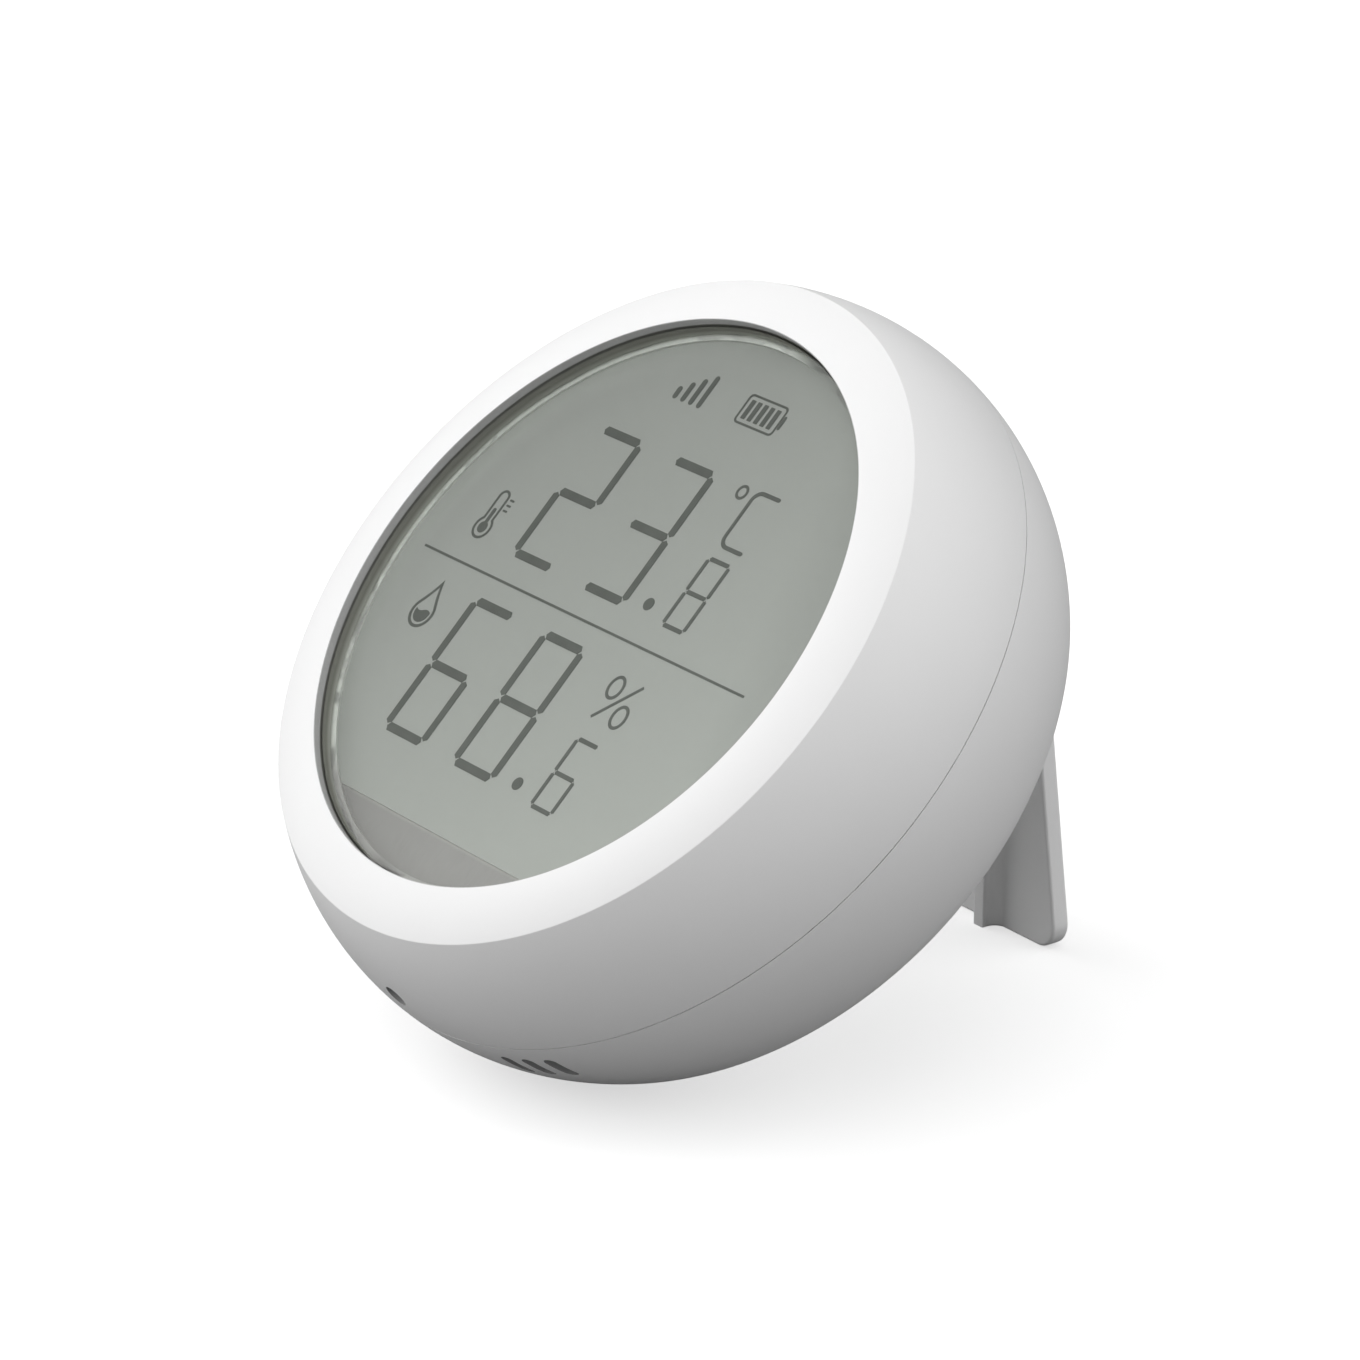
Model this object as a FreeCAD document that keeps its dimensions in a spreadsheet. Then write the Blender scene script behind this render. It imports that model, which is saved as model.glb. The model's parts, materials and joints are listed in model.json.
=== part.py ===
"""Round desk thermometer and hygrometer: a display housing on a fold-out stand.

The device frame has its origin at the centre of the display opening's front edge,
x to the right of the display, y up the display and z out of its face.
Depths are measured from that edge towards the back, along -z.
"""
import FreeCAD, Part
import math
import os
import re
import Sketcher
from FreeCAD import Placement, Rotation, Vector

doc = FreeCAD.newDocument("RoomSensor")
sheet = doc.addObject("Spreadsheet::Sheet", "Sizes")

# How near two lengths must be to count as the same edge or the same arc
SAME_EDGE = 0.01
SAME_ARC = 1e-6

# Facets of a spring: sections to a turn, and corners round the wire
SPRING_STEPS = 16
WIRE_CORNERS = 6

# Driving sizes in millimetres and degrees
DRIVING = {
    # Housing outline
    "max_radius": 34.0,
    "equator_depth": 12.25,
    "ring_reach": 7.5,
    "crease_depth": 1.05,
    "front_arc_radius": 22.7,
    "rear_arc_radius": 21.95,
    "rear_arc_angle": 31.7,
    "corner_arc_radius": 12.0,
    "wall": 1.6,
    "parting_gap": 0.12,
    "crease_fillet": 0.6,
    "opening_fillet": 0.2,
    # Window and display
    "window_recess": 0.7,
    "window_thickness": 1.2,
    "window_clearance": 0.15,
    "window_bevel": 0.15,
    "tape_thickness": 0.2,
    "tape_width": 0.6,
    "polariser_thickness": 0.2,
    "polariser_end": 4.73,
    "glass_thickness": 0.7,
    "glass_overlap": 0.7,
    "ledge_width": 4.2,
    "frame_floor": 1.0,
    "frame_wall": 1.2,
    "frame_clearance": 0.15,
    "board_spacer": 1.35,
    "spacer_width": 1.0,
    "zebra_length": 21.0,
    "zebra_width": 1.8,
    "zebra_inset": 0.5,
    "zebra_clearance": 0.2,
    "spacer_inset": 0.4,
    # Main board and what it carries
    "board_inset": 0.35,
    "board_thickness": 1.2,
    "chassis_standoff": 3.5,
    "radio_width": 16.0,
    "radio_length": 19.0,
    "radio_x": -11.5,
    "radio_inset": 13.2,
    "radio_board_thickness": 0.8,
    "shield_margin": 1.5,
    "shield_length": 12.0,
    "shield_height": 1.8,
    "driver_size": 9.0,
    "driver_height": 1.4,
    "driver_x": 9.0,
    "driver_y": 8.5,
    "crystal_length": 6.0,
    "crystal_width": 2.2,
    "crystal_height": 1.2,
    "crystal_x": 9.0,
    "crystal_y": 17.5,
    "passive_length": 1.6,
    "passive_width": 0.8,
    "passive_height": 0.6,
    "passive_pitch": 3.0,
    "passive_count": 8,
    "passive_y": -12.0,
    # Climate sensor behind the vents
    "vent_width": 1.15,
    "vent_length": 3.4,
    "vent_pitch": 2.25,
    "vent_count": 3,
    "vent_x": 10.7,
    "vent_depth": 15.8,
    "sensor_board_width": 6.0,
    "sensor_board_thickness": 0.8,
    "sensor_inset": 3.7,
    "sensor_size": 2.5,
    "sensor_height": 0.9,
    "sensor_clearance": 0.4,
    # Reset switch behind the pin hole
    "pin_hole_radius": 1.05,
    "pin_hole_depth": 8.55,
    "switch_width": 4.6,
    "switch_length": 3.4,
    "switch_inset": 2.4,
    "button_radius": 0.55,
    "button_reach": 1.8,
    "button_seat": 0.9,
    "button_clearance": 0.05,
    "button_travel": 0.25,
    # Chassis, its screws and the twist lock of the rear shell
    "boss_clearance": 0.4,
    "boss_angle": 45.0,
    "boss_radius": 1.7,
    "boss_count": 4,
    "boss_notch_clearance": 0.25,
    "pilot_radius": 0.8,
    "pilot_length": 6.0,
    "screw_radius": 0.8,
    "screw_length": 6.5,
    "screw_head_radius": 1.6,
    "screw_head_height": 1.0,
    "screw_clearance": 0.2,
    "chassis_plate": 1.4,
    "post_radius": 1.3,
    "post_inset": 1.9,
    "spigot_clearance": 0.3,
    "spigot_wall": 0.9,
    "spigot_root": 1.6,
    "root_slope": 1.0,
    "lug_count": 4,
    "lug_angle": 14.0,
    "lug_radial": 1.2,
    "lug_thickness": 0.9,
    "lug_clearance": 0.2,
    "twist_angle": 15.0,
    "notch_margin": 1.5,
    # Cells and their tray
    "cell_radius": 5.25,
    "tray_margin": 8.35,
    "nub_radius": 1.9,
    "nub_length": 1.0,
    "cell_bevel": 0.3,
    "cell_gap": 0.7,
    "cell_clearance": 0.25,
    "cell_back_gap": 1.0,
    "tray_wall": 1.3,
    "tray_floor": 1.4,
    "ridge_cut": 3.0,
    "contact_slot": 1.0,
    "contact_thickness": 0.3,
    "contact_width": 7.6,
    "contact_rise": 3.4,
    "dimple_radius": 1.5,
    "dimple_height": 0.4,
    "tail_width": 2.0,
    "tail_clearance": 0.2,
    "spring_length": 3.2,
    "spring_radius": 3.3,
    "spring_wire": 0.3,
    "spring_turns": 3,
    "pad_rib_radius": 9.0,
    "pad_rib_width": 1.2,
    "pad_rib_gap": 0.35,
    # Fold-out stand and its hinge
    "hinge_height": 28.9,
    "hinge_standoff": 2.7,
    "pin_radius": 0.75,
    "pin_clearance": 0.04,
    "ear_radius": 2.0,
    "ear_thickness": 1.5,
    "ear_clearance": 0.2,
    "ear_spread": 18.0,
    "knuckle_width": 4.4,
    "open_angle": 44.6,
    "leg_length": 35.3,
    "leg_thickness": 1.7,
    "leg_neck": 4.2,
    "leg_top_width": 7.6,
    "leg_bottom_width": 17.6,
    "leg_corner": 2.1,
    "rib_width": 1.6,
    "rib_height": 1.35,
    "rib_fillet": 0.95,
    "leg_edge": 0.3,
    "rib_start": 1.0,
    "knuckle_clearance": 0.1,
    "sole_trim": 3.0,
}

# Sizes that follow from the driving ones
DERIVED = {
    "opening_radius": "max_radius - ring_reach",
    "polariser_cut": "opening_radius - polariser_end",
    "ledge_start": "opening_radius - ledge_width",
    "side_centre": "max_radius - front_arc_radius",
    "crease_radius": "side_centre + sqrt(front_arc_radius ^ 2 - (equator_depth - crease_depth) ^ 2)",
    "ring_slope": "atan(crease_depth / (crease_radius - opening_radius)) / 1 deg",
    "lip_reach": "opening_fillet / tan((90 - ring_slope) / 2)",
    "crease_x": "opening_radius - crease_fillet * sin(ring_slope) - side_centre",
    "crease_z": "equator_depth - crease_fillet * cos(ring_slope)",
    "crease_along": "crease_x * cos(ring_slope) - crease_z * sin(ring_slope)",
    "crease_offset": "crease_x * sin(ring_slope) + crease_z * cos(ring_slope)",
    "crease_span": "sqrt((front_arc_radius - crease_fillet) ^ 2 - crease_offset ^ 2)",
    "crease_reach": "crease_span - crease_along",
    "crease_share": "front_arc_radius / (front_arc_radius - crease_fillet)",
    "rear_centre": "max_radius - rear_arc_radius",
    "corner_centre": "rear_centre + (rear_arc_radius - corner_arc_radius) * cos(rear_arc_angle)",
    "corner_depth": "equator_depth + (rear_arc_radius - corner_arc_radius) * sin(rear_arc_angle)",
    "back_depth": "corner_depth + corner_arc_radius",
    "joint_depth": "equator_depth + parting_gap",
    "joint_radius": "rear_centre + sqrt(rear_arc_radius ^ 2 - parting_gap ^ 2)",
    "bend_radius": "rear_centre + rear_arc_radius * cos(rear_arc_angle)",
    "bend_depth": "equator_depth + rear_arc_radius * sin(rear_arc_angle)",
    "bend_inner_radius": "rear_centre + (rear_arc_radius - wall) * cos(rear_arc_angle)",
    "bend_inner_depth": "equator_depth + (rear_arc_radius - wall) * sin(rear_arc_angle)",
    "inner_back": "back_depth - wall",
    "window_back": "window_recess + window_thickness",
    "lip_depth": "window_back + tape_thickness",
    "lip_inner_radius": "side_centre + sqrt((front_arc_radius - wall) ^ 2 - (equator_depth - lip_depth) ^ 2)",
    "lip_angle": "asin((equator_depth - lip_depth) / (front_arc_radius - wall)) / 1 deg",
    "window_radius": "opening_radius - window_clearance",
    "glass_radius": "opening_radius + glass_overlap",
    "glass_depth": "lip_depth + polariser_thickness",
    "glass_step": "glass_depth + glass_thickness",
    "glass_back": "glass_step + glass_thickness",
    "reflector_back": "glass_back + polariser_thickness",
    "frame_back": "reflector_back + frame_floor",
    "frame_inner_radius": "glass_radius + frame_clearance",
    "frame_radius": "frame_inner_radius + frame_wall",
    "board_radius": "frame_radius - board_inset",
    "radio_y": "board_radius - radio_inset - radio_length / 2",
    "post_circle": "board_radius - post_radius - post_inset",
    "sensor_board_y": "sensor_inset - board_radius",
    "board_depth": "frame_back + board_spacer",
    "board_back": "board_depth + board_thickness",
    "plate_depth": "board_back + chassis_standoff",
    "plate_back": "plate_depth + chassis_plate",
    "boss_notch": "boss_radius + boss_notch_clearance",
    "spigot_radius": "max_radius - wall - spigot_clearance",
    "spigot_inner": "spigot_radius - spigot_wall",
    "boss_circle": "spigot_inner - boss_radius - boss_clearance",
    "lug_back": "plate_depth - lug_clearance",
    "lug_front": "lug_back - lug_thickness",
    "lug_inner": "spigot_inner - lug_radial",
    "plate_radius": "spigot_inner - spigot_clearance",
    "notch_inner": "lug_inner - spigot_clearance",
    "root_depth": "joint_depth + spigot_root",
    "slope_depth": "root_depth + root_slope",
    "root_radius": "rear_centre + sqrt((rear_arc_radius - wall) ^ 2 - (slope_depth - equator_depth) ^ 2)",
    "root_angle": "asin((slope_depth - equator_depth) / (rear_arc_radius - wall)) / 1 deg",
    "side_angle": "(root_angle + rear_arc_angle) / 2",
    "corner_turn": "90 - rear_arc_angle",
    "cell_y": "cell_radius + cell_gap / 2",
    "cell_depth": "inner_back - cell_back_gap - cell_radius",
    "trough_radius": "cell_radius + cell_clearance",
    "tray_half_length": "max_radius - tray_margin",
    "bay_half": "tray_half_length - tray_wall",
    "cell_length": "2 * (bay_half - contact_thickness) - spring_length - dimple_height",
    "tray_half_width": "cell_y + trough_radius + tray_wall",
    "tray_floor_depth": "cell_depth - trough_radius",
    "nub_end": "bay_half - contact_thickness - dimple_height",
    "contact_front": "cell_depth - contact_width / 2",
    "contact_back": "cell_depth + contact_rise",
    "switch_height": "2 * (pin_hole_depth - board_back)",
    "switch_front": "-board_radius + switch_inset",
    "sensor_board_back": "vent_depth + vent_length / 2",
    "hinge_depth": "back_depth + hinge_standoff",
    "ear_lean": "atan((hinge_depth - corner_depth) / (hinge_height - corner_centre)) / 1 deg",
    "ear_outer": "knuckle_width / 2 + ear_clearance + ear_thickness",
    "leg_taper": "(leg_bottom_width - leg_top_width) / (leg_length - leg_neck)",
    "leg_foot_width": "leg_bottom_width + leg_taper * sole_trim",
    "sole_y": "hinge_height - leg_length * cos(open_angle)",
    "sole_depth": "hinge_depth + leg_length * sin(open_angle)",
    "stance_y": "-corner_centre - sole_y",
    "stance_z": "sole_depth - corner_depth",
    "stance_span": "sqrt(stance_y ^ 2 + stance_z ^ 2)",
    "stance_angle": "90 - atan(stance_y / stance_z) / 1 deg",
    "face_tilt": "stance_angle - acos(corner_arc_radius / stance_span) / 1 deg",
    "lift": "sole_depth * sin(face_tilt) - sole_y * cos(face_tilt)",
    "sole_lean": "face_tilt - open_angle",
    "origin_y": "0",
}

row_of = {}
for row, (alias, value) in enumerate(list(DRIVING.items()) + list(DERIVED.items()), start=1):
    row_of[alias] = row
    sheet.set("A%d" % row, alias)
    sheet.setAlias("B%d" % row, alias)
for alias, value in DRIVING.items():
    sheet.set("B%d" % row_of[alias], str(value))
for alias, formula in DERIVED.items():
    sheet.set("B%d" % row_of[alias], "=" + formula)
doc.recompute()


def size(alias):
    """The present value of one named size."""
    return float(getattr(sheet, alias))


def bound(text):
    """An expression in which each named size reads its cell in the sheet."""
    def cell(found):
        word = found.group()
        return "Sizes." + word if word in row_of else word
    return re.sub(r"[a-z][a-z_]*", cell, str(text))


def amount(text):
    """The number that such an expression gives now."""
    return float(sheet.evalExpression(bound(text)))


def bind(thing, prop, text):
    thing.setExpression(prop, bound(text))


def new_body(label):
    """A piece drawn in the device frame and set down tilted on the desk."""
    body = doc.addObject("PartDesign::Body", label)
    body.Label = label
    body.Placement = Placement(Vector(0, 0, 0), Rotation(Vector(1, 0, 0), 45))
    bind(body, "Placement.Rotation.Angle", "90 - face_tilt")
    bind(body, "Placement.Base.y", "origin_y")
    bind(body, "Placement.Base.z", "lift")
    pieces.append(body)
    return body


def new_sketch(body, plane, offset="0"):
    """A sketch on one of the body's origin planes, moved along its normal."""
    sketch = body.newObject("Sketcher::SketchObject", "Sketch")
    support = [item for item in body.Origin.OriginFeatures if item.Role == plane][0]
    sketch.AttachmentSupport = [(support, "")]
    sketch.MapMode = "FlatFace"
    bind(sketch, "AttachmentOffset.Base.z", offset)
    return sketch


def hold(sketch, kind, first, where, text):
    """A driving constraint from the sketch's origin, tied to the sheet."""
    number = sketch.addConstraint(Sketcher.Constraint(kind, -1, 1, first, where, amount(text)))
    bind(sketch, "Constraints[%d]" % number, text)


def draw_outline(sketch, points):
    """A closed outline. A point with a third and fourth entry starts an arc:
    its radius, and 1 if the arc's centre lies to the left of its chord, else -1."""
    spots = [Vector(amount(point[0]), amount(point[1]), 0) for point in points]
    first = sketch.GeometryCount
    ends = []
    for number, point in enumerate(points):
        start = spots[number]
        end = spots[(number + 1) % len(points)]
        if len(point) == 2:
            sketch.addGeometry(Part.LineSegment(start, end), False)
            ends.append((1, 2))
            continue
        radius = amount(point[2])
        chord = end - start
        across = Vector(-chord.y, chord.x, 0).normalize() * point[3]
        rise = math.sqrt(max(radius ** 2 - (chord.Length / 2) ** 2, 0.0))
        centre = (start + end) * 0.5 + across * rise
        first_angle = math.atan2(start.y - centre.y, start.x - centre.x)
        last_angle = math.atan2(end.y - centre.y, end.x - centre.x)
        circle = Part.Circle(centre, Vector(0, 0, 1), radius)
        if point[3] > 0:
            sketch.addGeometry(Part.ArcOfCircle(circle, first_angle, last_angle), False)
            ends.append((1, 2))
        else:
            sketch.addGeometry(Part.ArcOfCircle(circle, last_angle, first_angle), False)
            ends.append((2, 1))
    for number in range(len(points)):
        following = (number + 1) % len(points)
        sketch.addConstraint(Sketcher.Constraint(
            "Coincident", first + number, ends[number][1], first + following, ends[following][0]))
    for number, point in enumerate(points):
        hold(sketch, "DistanceX", first + number, ends[number][0], point[0])
        hold(sketch, "DistanceY", first + number, ends[number][0], point[1])
        if len(point) < 4:
            continue
        chord = spots[(number + 1) % len(points)] - spots[number]
        if abs(chord.Length - 2 * amount(point[2])) < SAME_ARC:
            hold(sketch, "DistanceY", first + number, 3, point[1])
        else:
            held = sketch.addConstraint(Sketcher.Constraint("Radius", first + number, amount(point[2])))
            bind(sketch, "Constraints[%d]" % held, point[2])


def draw_circle(sketch, x, y, radius):
    spot = Vector(amount(x), amount(y), 0)
    number = sketch.addGeometry(Part.Circle(spot, Vector(0, 0, 1), amount(radius)), False)
    hold(sketch, "DistanceX", number, 3, x)
    hold(sketch, "DistanceY", number, 3, y)
    held = sketch.addConstraint(Sketcher.Constraint("Radius", number, amount(radius)))
    bind(sketch, "Constraints[%d]" % held, radius)


def box_points(x_low, x_high, y_low, y_high):
    return [(x_low, y_low), (x_high, y_low), (x_high, y_high), (x_low, y_high)]


def revolve(body, points):
    """A solid of revolution about z from an outline of radius against z."""
    sketch = new_sketch(body, "XZ_Plane")
    draw_outline(sketch, points)
    turned = body.newObject("PartDesign::Revolution", "Turned")
    turned.Profile = sketch
    turned.ReferenceAxis = (sketch, ["V_Axis"])
    turned.Angle = 360
    body.Tip = turned
    doc.recompute()
    return turned


def extrude(body, kind, sketch, length, forward=True, midplane=False):
    """A pad or a pocket. forward runs it along the sketch plane's normal."""
    feature = body.newObject("PartDesign::" + kind, kind)
    feature.Profile = sketch
    bind(feature, "Length", length)
    feature.Midplane = midplane
    feature.Reversed = (not forward) if kind == "Pad" else forward
    volume = body.Shape.Volume if not body.Shape.isNull() else 0.0
    body.Tip = feature
    doc.recompute()
    if kind == "Pocket" and not body.Shape.Volume < volume:
        raise RuntimeError(body.Label + ": a pocket cuts nothing")
    return feature


def slab(body, kind, points, front, back):
    """A pad or pocket of one outline between two depths."""
    sketch = new_sketch(body, "XY_Plane", "-(%s)" % front)
    draw_outline(sketch, points)
    return extrude(body, kind, sketch, "(%s) - (%s)" % (back, front), forward=False)


def disc(body, kind, circles, front, back):
    """A pad or pocket of circles between two depths."""
    sketch = new_sketch(body, "XY_Plane", "-(%s)" % front)
    for x, y, radius in circles:
        draw_circle(sketch, x, y, radius)
    return extrude(body, kind, sketch, "(%s) - (%s)" % (back, front), forward=False)


def around(body, feature, count):
    """Copies of a feature evenly round the device's axis."""
    pattern = body.newObject("PartDesign::PolarPattern", "Around")
    pattern.Originals = [feature]
    axis = [item for item in body.Origin.OriginFeatures if item.Role == "Z_Axis"][0]
    pattern.Axis = (axis, [""])
    pattern.Angle = 360
    bind(pattern, "Occurrences", count)
    body.Tip = pattern
    doc.recompute()
    return pattern


def edge_names(shape, wanted):
    """The names of the edges whose middle and shape pass a test."""
    names = []
    for number, edge in enumerate(shape.Edges, start=1):
        if wanted(edge):
            names.append("Edge%d" % number)
    return names


def round_edges(body, kind, amount_text, wanted):
    base = body.Tip
    feature = body.newObject("PartDesign::" + kind, kind)
    feature.Base = (base, edge_names(base.Shape, wanted))
    bind(feature, "Radius" if kind == "Fillet" else "Size", amount_text)
    body.Tip = feature
    doc.recompute()
    return feature


def ring_at(radius, depth):
    """A test for a full circle of one radius at one depth."""
    def test(edge):
        curve = edge.Curve
        return (
            isinstance(curve, Part.Circle)
            and abs(curve.Radius - size(radius)) < SAME_EDGE
            and abs(curve.Center.z + amount(depth)) < SAME_EDGE
        )
    return test


def sector_points(inner, outer, start, span):
    """A stretch of a flat ring, from one angle over a span."""
    end = "(%s) + (%s)" % (start, span)
    return [
        ("(%s) * cos(%s)" % (inner, start), "(%s) * sin(%s)" % (inner, start)),
        ("(%s) * cos(%s)" % (outer, start), "(%s) * sin(%s)" % (outer, start), outer, 1),
        ("(%s) * cos(%s)" % (outer, end), "(%s) * sin(%s)" % (outer, end)),
        ("(%s) * cos(%s)" % (inner, end), "(%s) * sin(%s)" % (inner, end), inner, -1),
    ]


def on_arc(x, z, radius, angle):
    """The corner of an outline that lies on an arc, by the arc's centre."""
    return ("%s + (%s) * cos(%s)" % (x, radius, angle), "%s + (%s) * sin(%s)" % (z, radius, angle))


def at_boss(radius, circle="boss_circle"):
    """One circle at the first boss, for a pattern round the device's axis."""
    return [("%s * cos(boss_angle)" % circle, "%s * sin(boss_angle)" % circle, radius)]


pieces = []


def make_front_shell():
    """Display ring and side down to the parting line, with bosses inside."""
    body = new_body("front_shell")
    revolve(body, [
        ("opening_radius", "-lip_reach", "opening_fillet", -1),
        ("opening_radius + lip_reach * cos(ring_slope)", "-lip_reach * sin(ring_slope)"),
        (
            "opening_radius + crease_reach * cos(ring_slope)",
            "-crease_reach * sin(ring_slope)",
            "crease_fillet",
            -1,
        ),
        (
            "side_centre + (crease_x + crease_reach * cos(ring_slope)) * crease_share",
            "(crease_z - crease_reach * sin(ring_slope)) * crease_share - equator_depth",
            "front_arc_radius",
            -1,
        ),
        ("max_radius", "-equator_depth"),
        ("max_radius - wall", "-equator_depth"),
        on_arc("side_centre", "-equator_depth", "front_arc_radius - wall", "lip_angle / 2"),
        ("lip_inner_radius", "-lip_depth"),
        ("opening_radius", "-lip_depth"),
    ])
    boss = disc(body, "Pad", at_boss("boss_radius"), "lip_depth", "plate_depth")
    around(body, boss, "boss_count")
    pilot = disc(body, "Pocket", at_boss("pilot_radius"), "plate_depth - pilot_length", "plate_depth")
    around(body, pilot, "boss_count")
    hole = new_sketch(body, "XZ_Plane")
    draw_circle(hole, "0", "-pin_hole_depth", "pin_hole_radius")
    extrude(body, "Pocket", hole, "max_radius", forward=True)
    return body


def chord_disc(radius, cut):
    """A disc with its lower end cut off straight."""
    half = "sqrt((%s) ^ 2 - (%s) ^ 2)" % (radius, cut)
    return [
        (half, "-(%s)" % cut, radius, 1),
        ("0", radius, radius, 1),
        ("-" + half, "-(%s)" % cut),
    ]


def make_window():
    body = new_body("window")
    disc(body, "Pad", [("0", "0", "window_radius")], "window_recess", "window_back")
    round_edges(body, "Chamfer", "window_bevel", ring_at("window_radius", "window_recess"))


def make_window_tape():
    body = new_body("window_tape")
    rings = [("0", "0", "window_radius"), ("0", "0", "window_radius - tape_width")]
    disc(body, "Pad", rings, "window_back", "lip_depth")


def make_display():
    """The display cell: two glasses, the rear one shorter, between two films."""
    body = new_body("front_polariser")
    slab(body, "Pad", chord_disc("glass_radius", "polariser_cut"), "lip_depth", "glass_depth")
    body = new_body("lcd_glass")
    disc(body, "Pad", [("0", "0", "glass_radius")], "glass_depth", "glass_step")
    slab(body, "Pad", chord_disc("glass_radius", "ledge_start"), "glass_step", "glass_back")
    body = new_body("rear_polariser")
    slab(body, "Pad", chord_disc("glass_radius", "ledge_start"), "glass_back", "reflector_back")


def make_display_frame():
    """A shallow cup that presses the display against the lip of the opening."""
    body = new_body("display_frame")
    disc(body, "Pad", [("0", "0", "frame_radius")], "lip_depth", "frame_back")
    disc(body, "Pocket", [("0", "0", "frame_inner_radius")], "lip_depth", "reflector_back")
    spacer = [
        ("0", "0", "glass_radius - spacer_inset"),
        ("0", "0", "glass_radius - spacer_inset - spacer_width"),
    ]
    disc(body, "Pad", spacer, "frame_back", "board_depth")
    slot = box_points(
        "-zebra_length / 2 - zebra_clearance",
        "zebra_length / 2 + zebra_clearance",
        "-ledge_start - zebra_inset - zebra_width - zebra_clearance",
        "-ledge_start - zebra_inset + zebra_clearance",
    )
    slab(body, "Pocket", slot, "reflector_back", "board_depth")
    notch = disc(body, "Pocket", at_boss("boss_notch"), "lip_depth", "frame_back")
    around(body, notch, "boss_count")


def make_zebra_strip():
    """The elastomer strip that joins the display's ledge to the main board."""
    body = new_body("zebra_strip")
    strip = box_points(
        "-zebra_length / 2",
        "zebra_length / 2",
        "-ledge_start - zebra_inset - zebra_width",
        "-ledge_start - zebra_inset",
    )
    slab(body, "Pad", strip, "glass_step", "board_depth")


def make_main_board():
    body = new_body("main_board")
    disc(body, "Pad", [("0", "0", "board_radius")], "board_depth", "board_back")
    notch = disc(body, "Pocket", at_boss("boss_notch"), "board_depth", "board_back")
    around(body, notch, "boss_count")


def block(label, x, width, y, length, front, back):
    """A rectangular piece by its middle, width and length between two depths."""
    body = new_body(label)
    points = box_points(
        "(%s) - (%s) / 2" % (x, width),
        "(%s) + (%s) / 2" % (x, width),
        "(%s) - (%s) / 2" % (y, length),
        "(%s) + (%s) / 2" % (y, length),
    )
    slab(body, "Pad", points, front, back)
    return body


def make_board_parts():
    """The radio, the display driver and the small parts on the main board."""
    radio_back = "board_back + radio_board_thickness"
    block("radio_board", "radio_x", "radio_width", "radio_y", "radio_length", "board_back", radio_back)
    shield_y = "radio_y - (radio_length - shield_length) / 2 + shield_margin"
    shield_back = radio_back + " + shield_height"
    shield_width = "radio_width - 2 * shield_margin"
    block("radio_shield", "radio_x", shield_width, shield_y, "shield_length", radio_back, shield_back)
    driver_back = "board_back + driver_height"
    block("display_driver", "driver_x", "driver_size", "driver_y", "driver_size", "board_back", driver_back)
    crystal_back = "board_back + crystal_height"
    block("crystal", "crystal_x", "crystal_length", "crystal_y", "crystal_width", "board_back", crystal_back)
    body = new_body("board_passives")
    sketch = new_sketch(body, "XY_Plane", "-board_back")
    for place in range(round(size("passive_count"))):
        middle = "(%d - (passive_count - 1) / 2) * passive_pitch" % place
        draw_outline(sketch, box_points(
            middle + " - passive_width / 2",
            middle + " + passive_width / 2",
            "passive_y - passive_length / 2",
            "passive_y + passive_length / 2",
        ))
    extrude(body, "Pad", sketch, "passive_height", forward=False)


def make_climate_sensor():
    """A small upright board that holds the sensor chip close behind the vents."""
    board_y = "sensor_board_y + sensor_board_thickness / 2"
    block(
        "sensor_board", "vent_x", "sensor_board_width", board_y, "sensor_board_thickness",
        "board_back", "sensor_board_back",
    )
    block(
        "climate_sensor", "vent_x", "sensor_size", "sensor_board_y - sensor_height / 2", "sensor_height",
        "vent_depth - sensor_size / 2", "vent_depth + sensor_size / 2",
    )


def make_reset_switch():
    """A side-pressed switch whose plunger faces the pin hole."""
    body = block(
        "button_switch", "0", "switch_width", "switch_front + switch_length / 2", "switch_length",
        "board_back", "board_back + switch_height",
    )
    bore = new_sketch(body, "XZ_Plane", "-switch_front")
    draw_circle(bore, "0", "-pin_hole_depth", "button_radius + button_clearance")
    extrude(body, "Pocket", bore, "button_seat + button_travel + button_clearance", forward=False)
    body = new_body("reset_button")
    plunger = new_sketch(body, "XZ_Plane", "-switch_front - button_seat")
    draw_circle(plunger, "0", "-pin_hole_depth", "button_radius")
    extrude(body, "Pad", plunger, "button_seat + button_reach")


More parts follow.
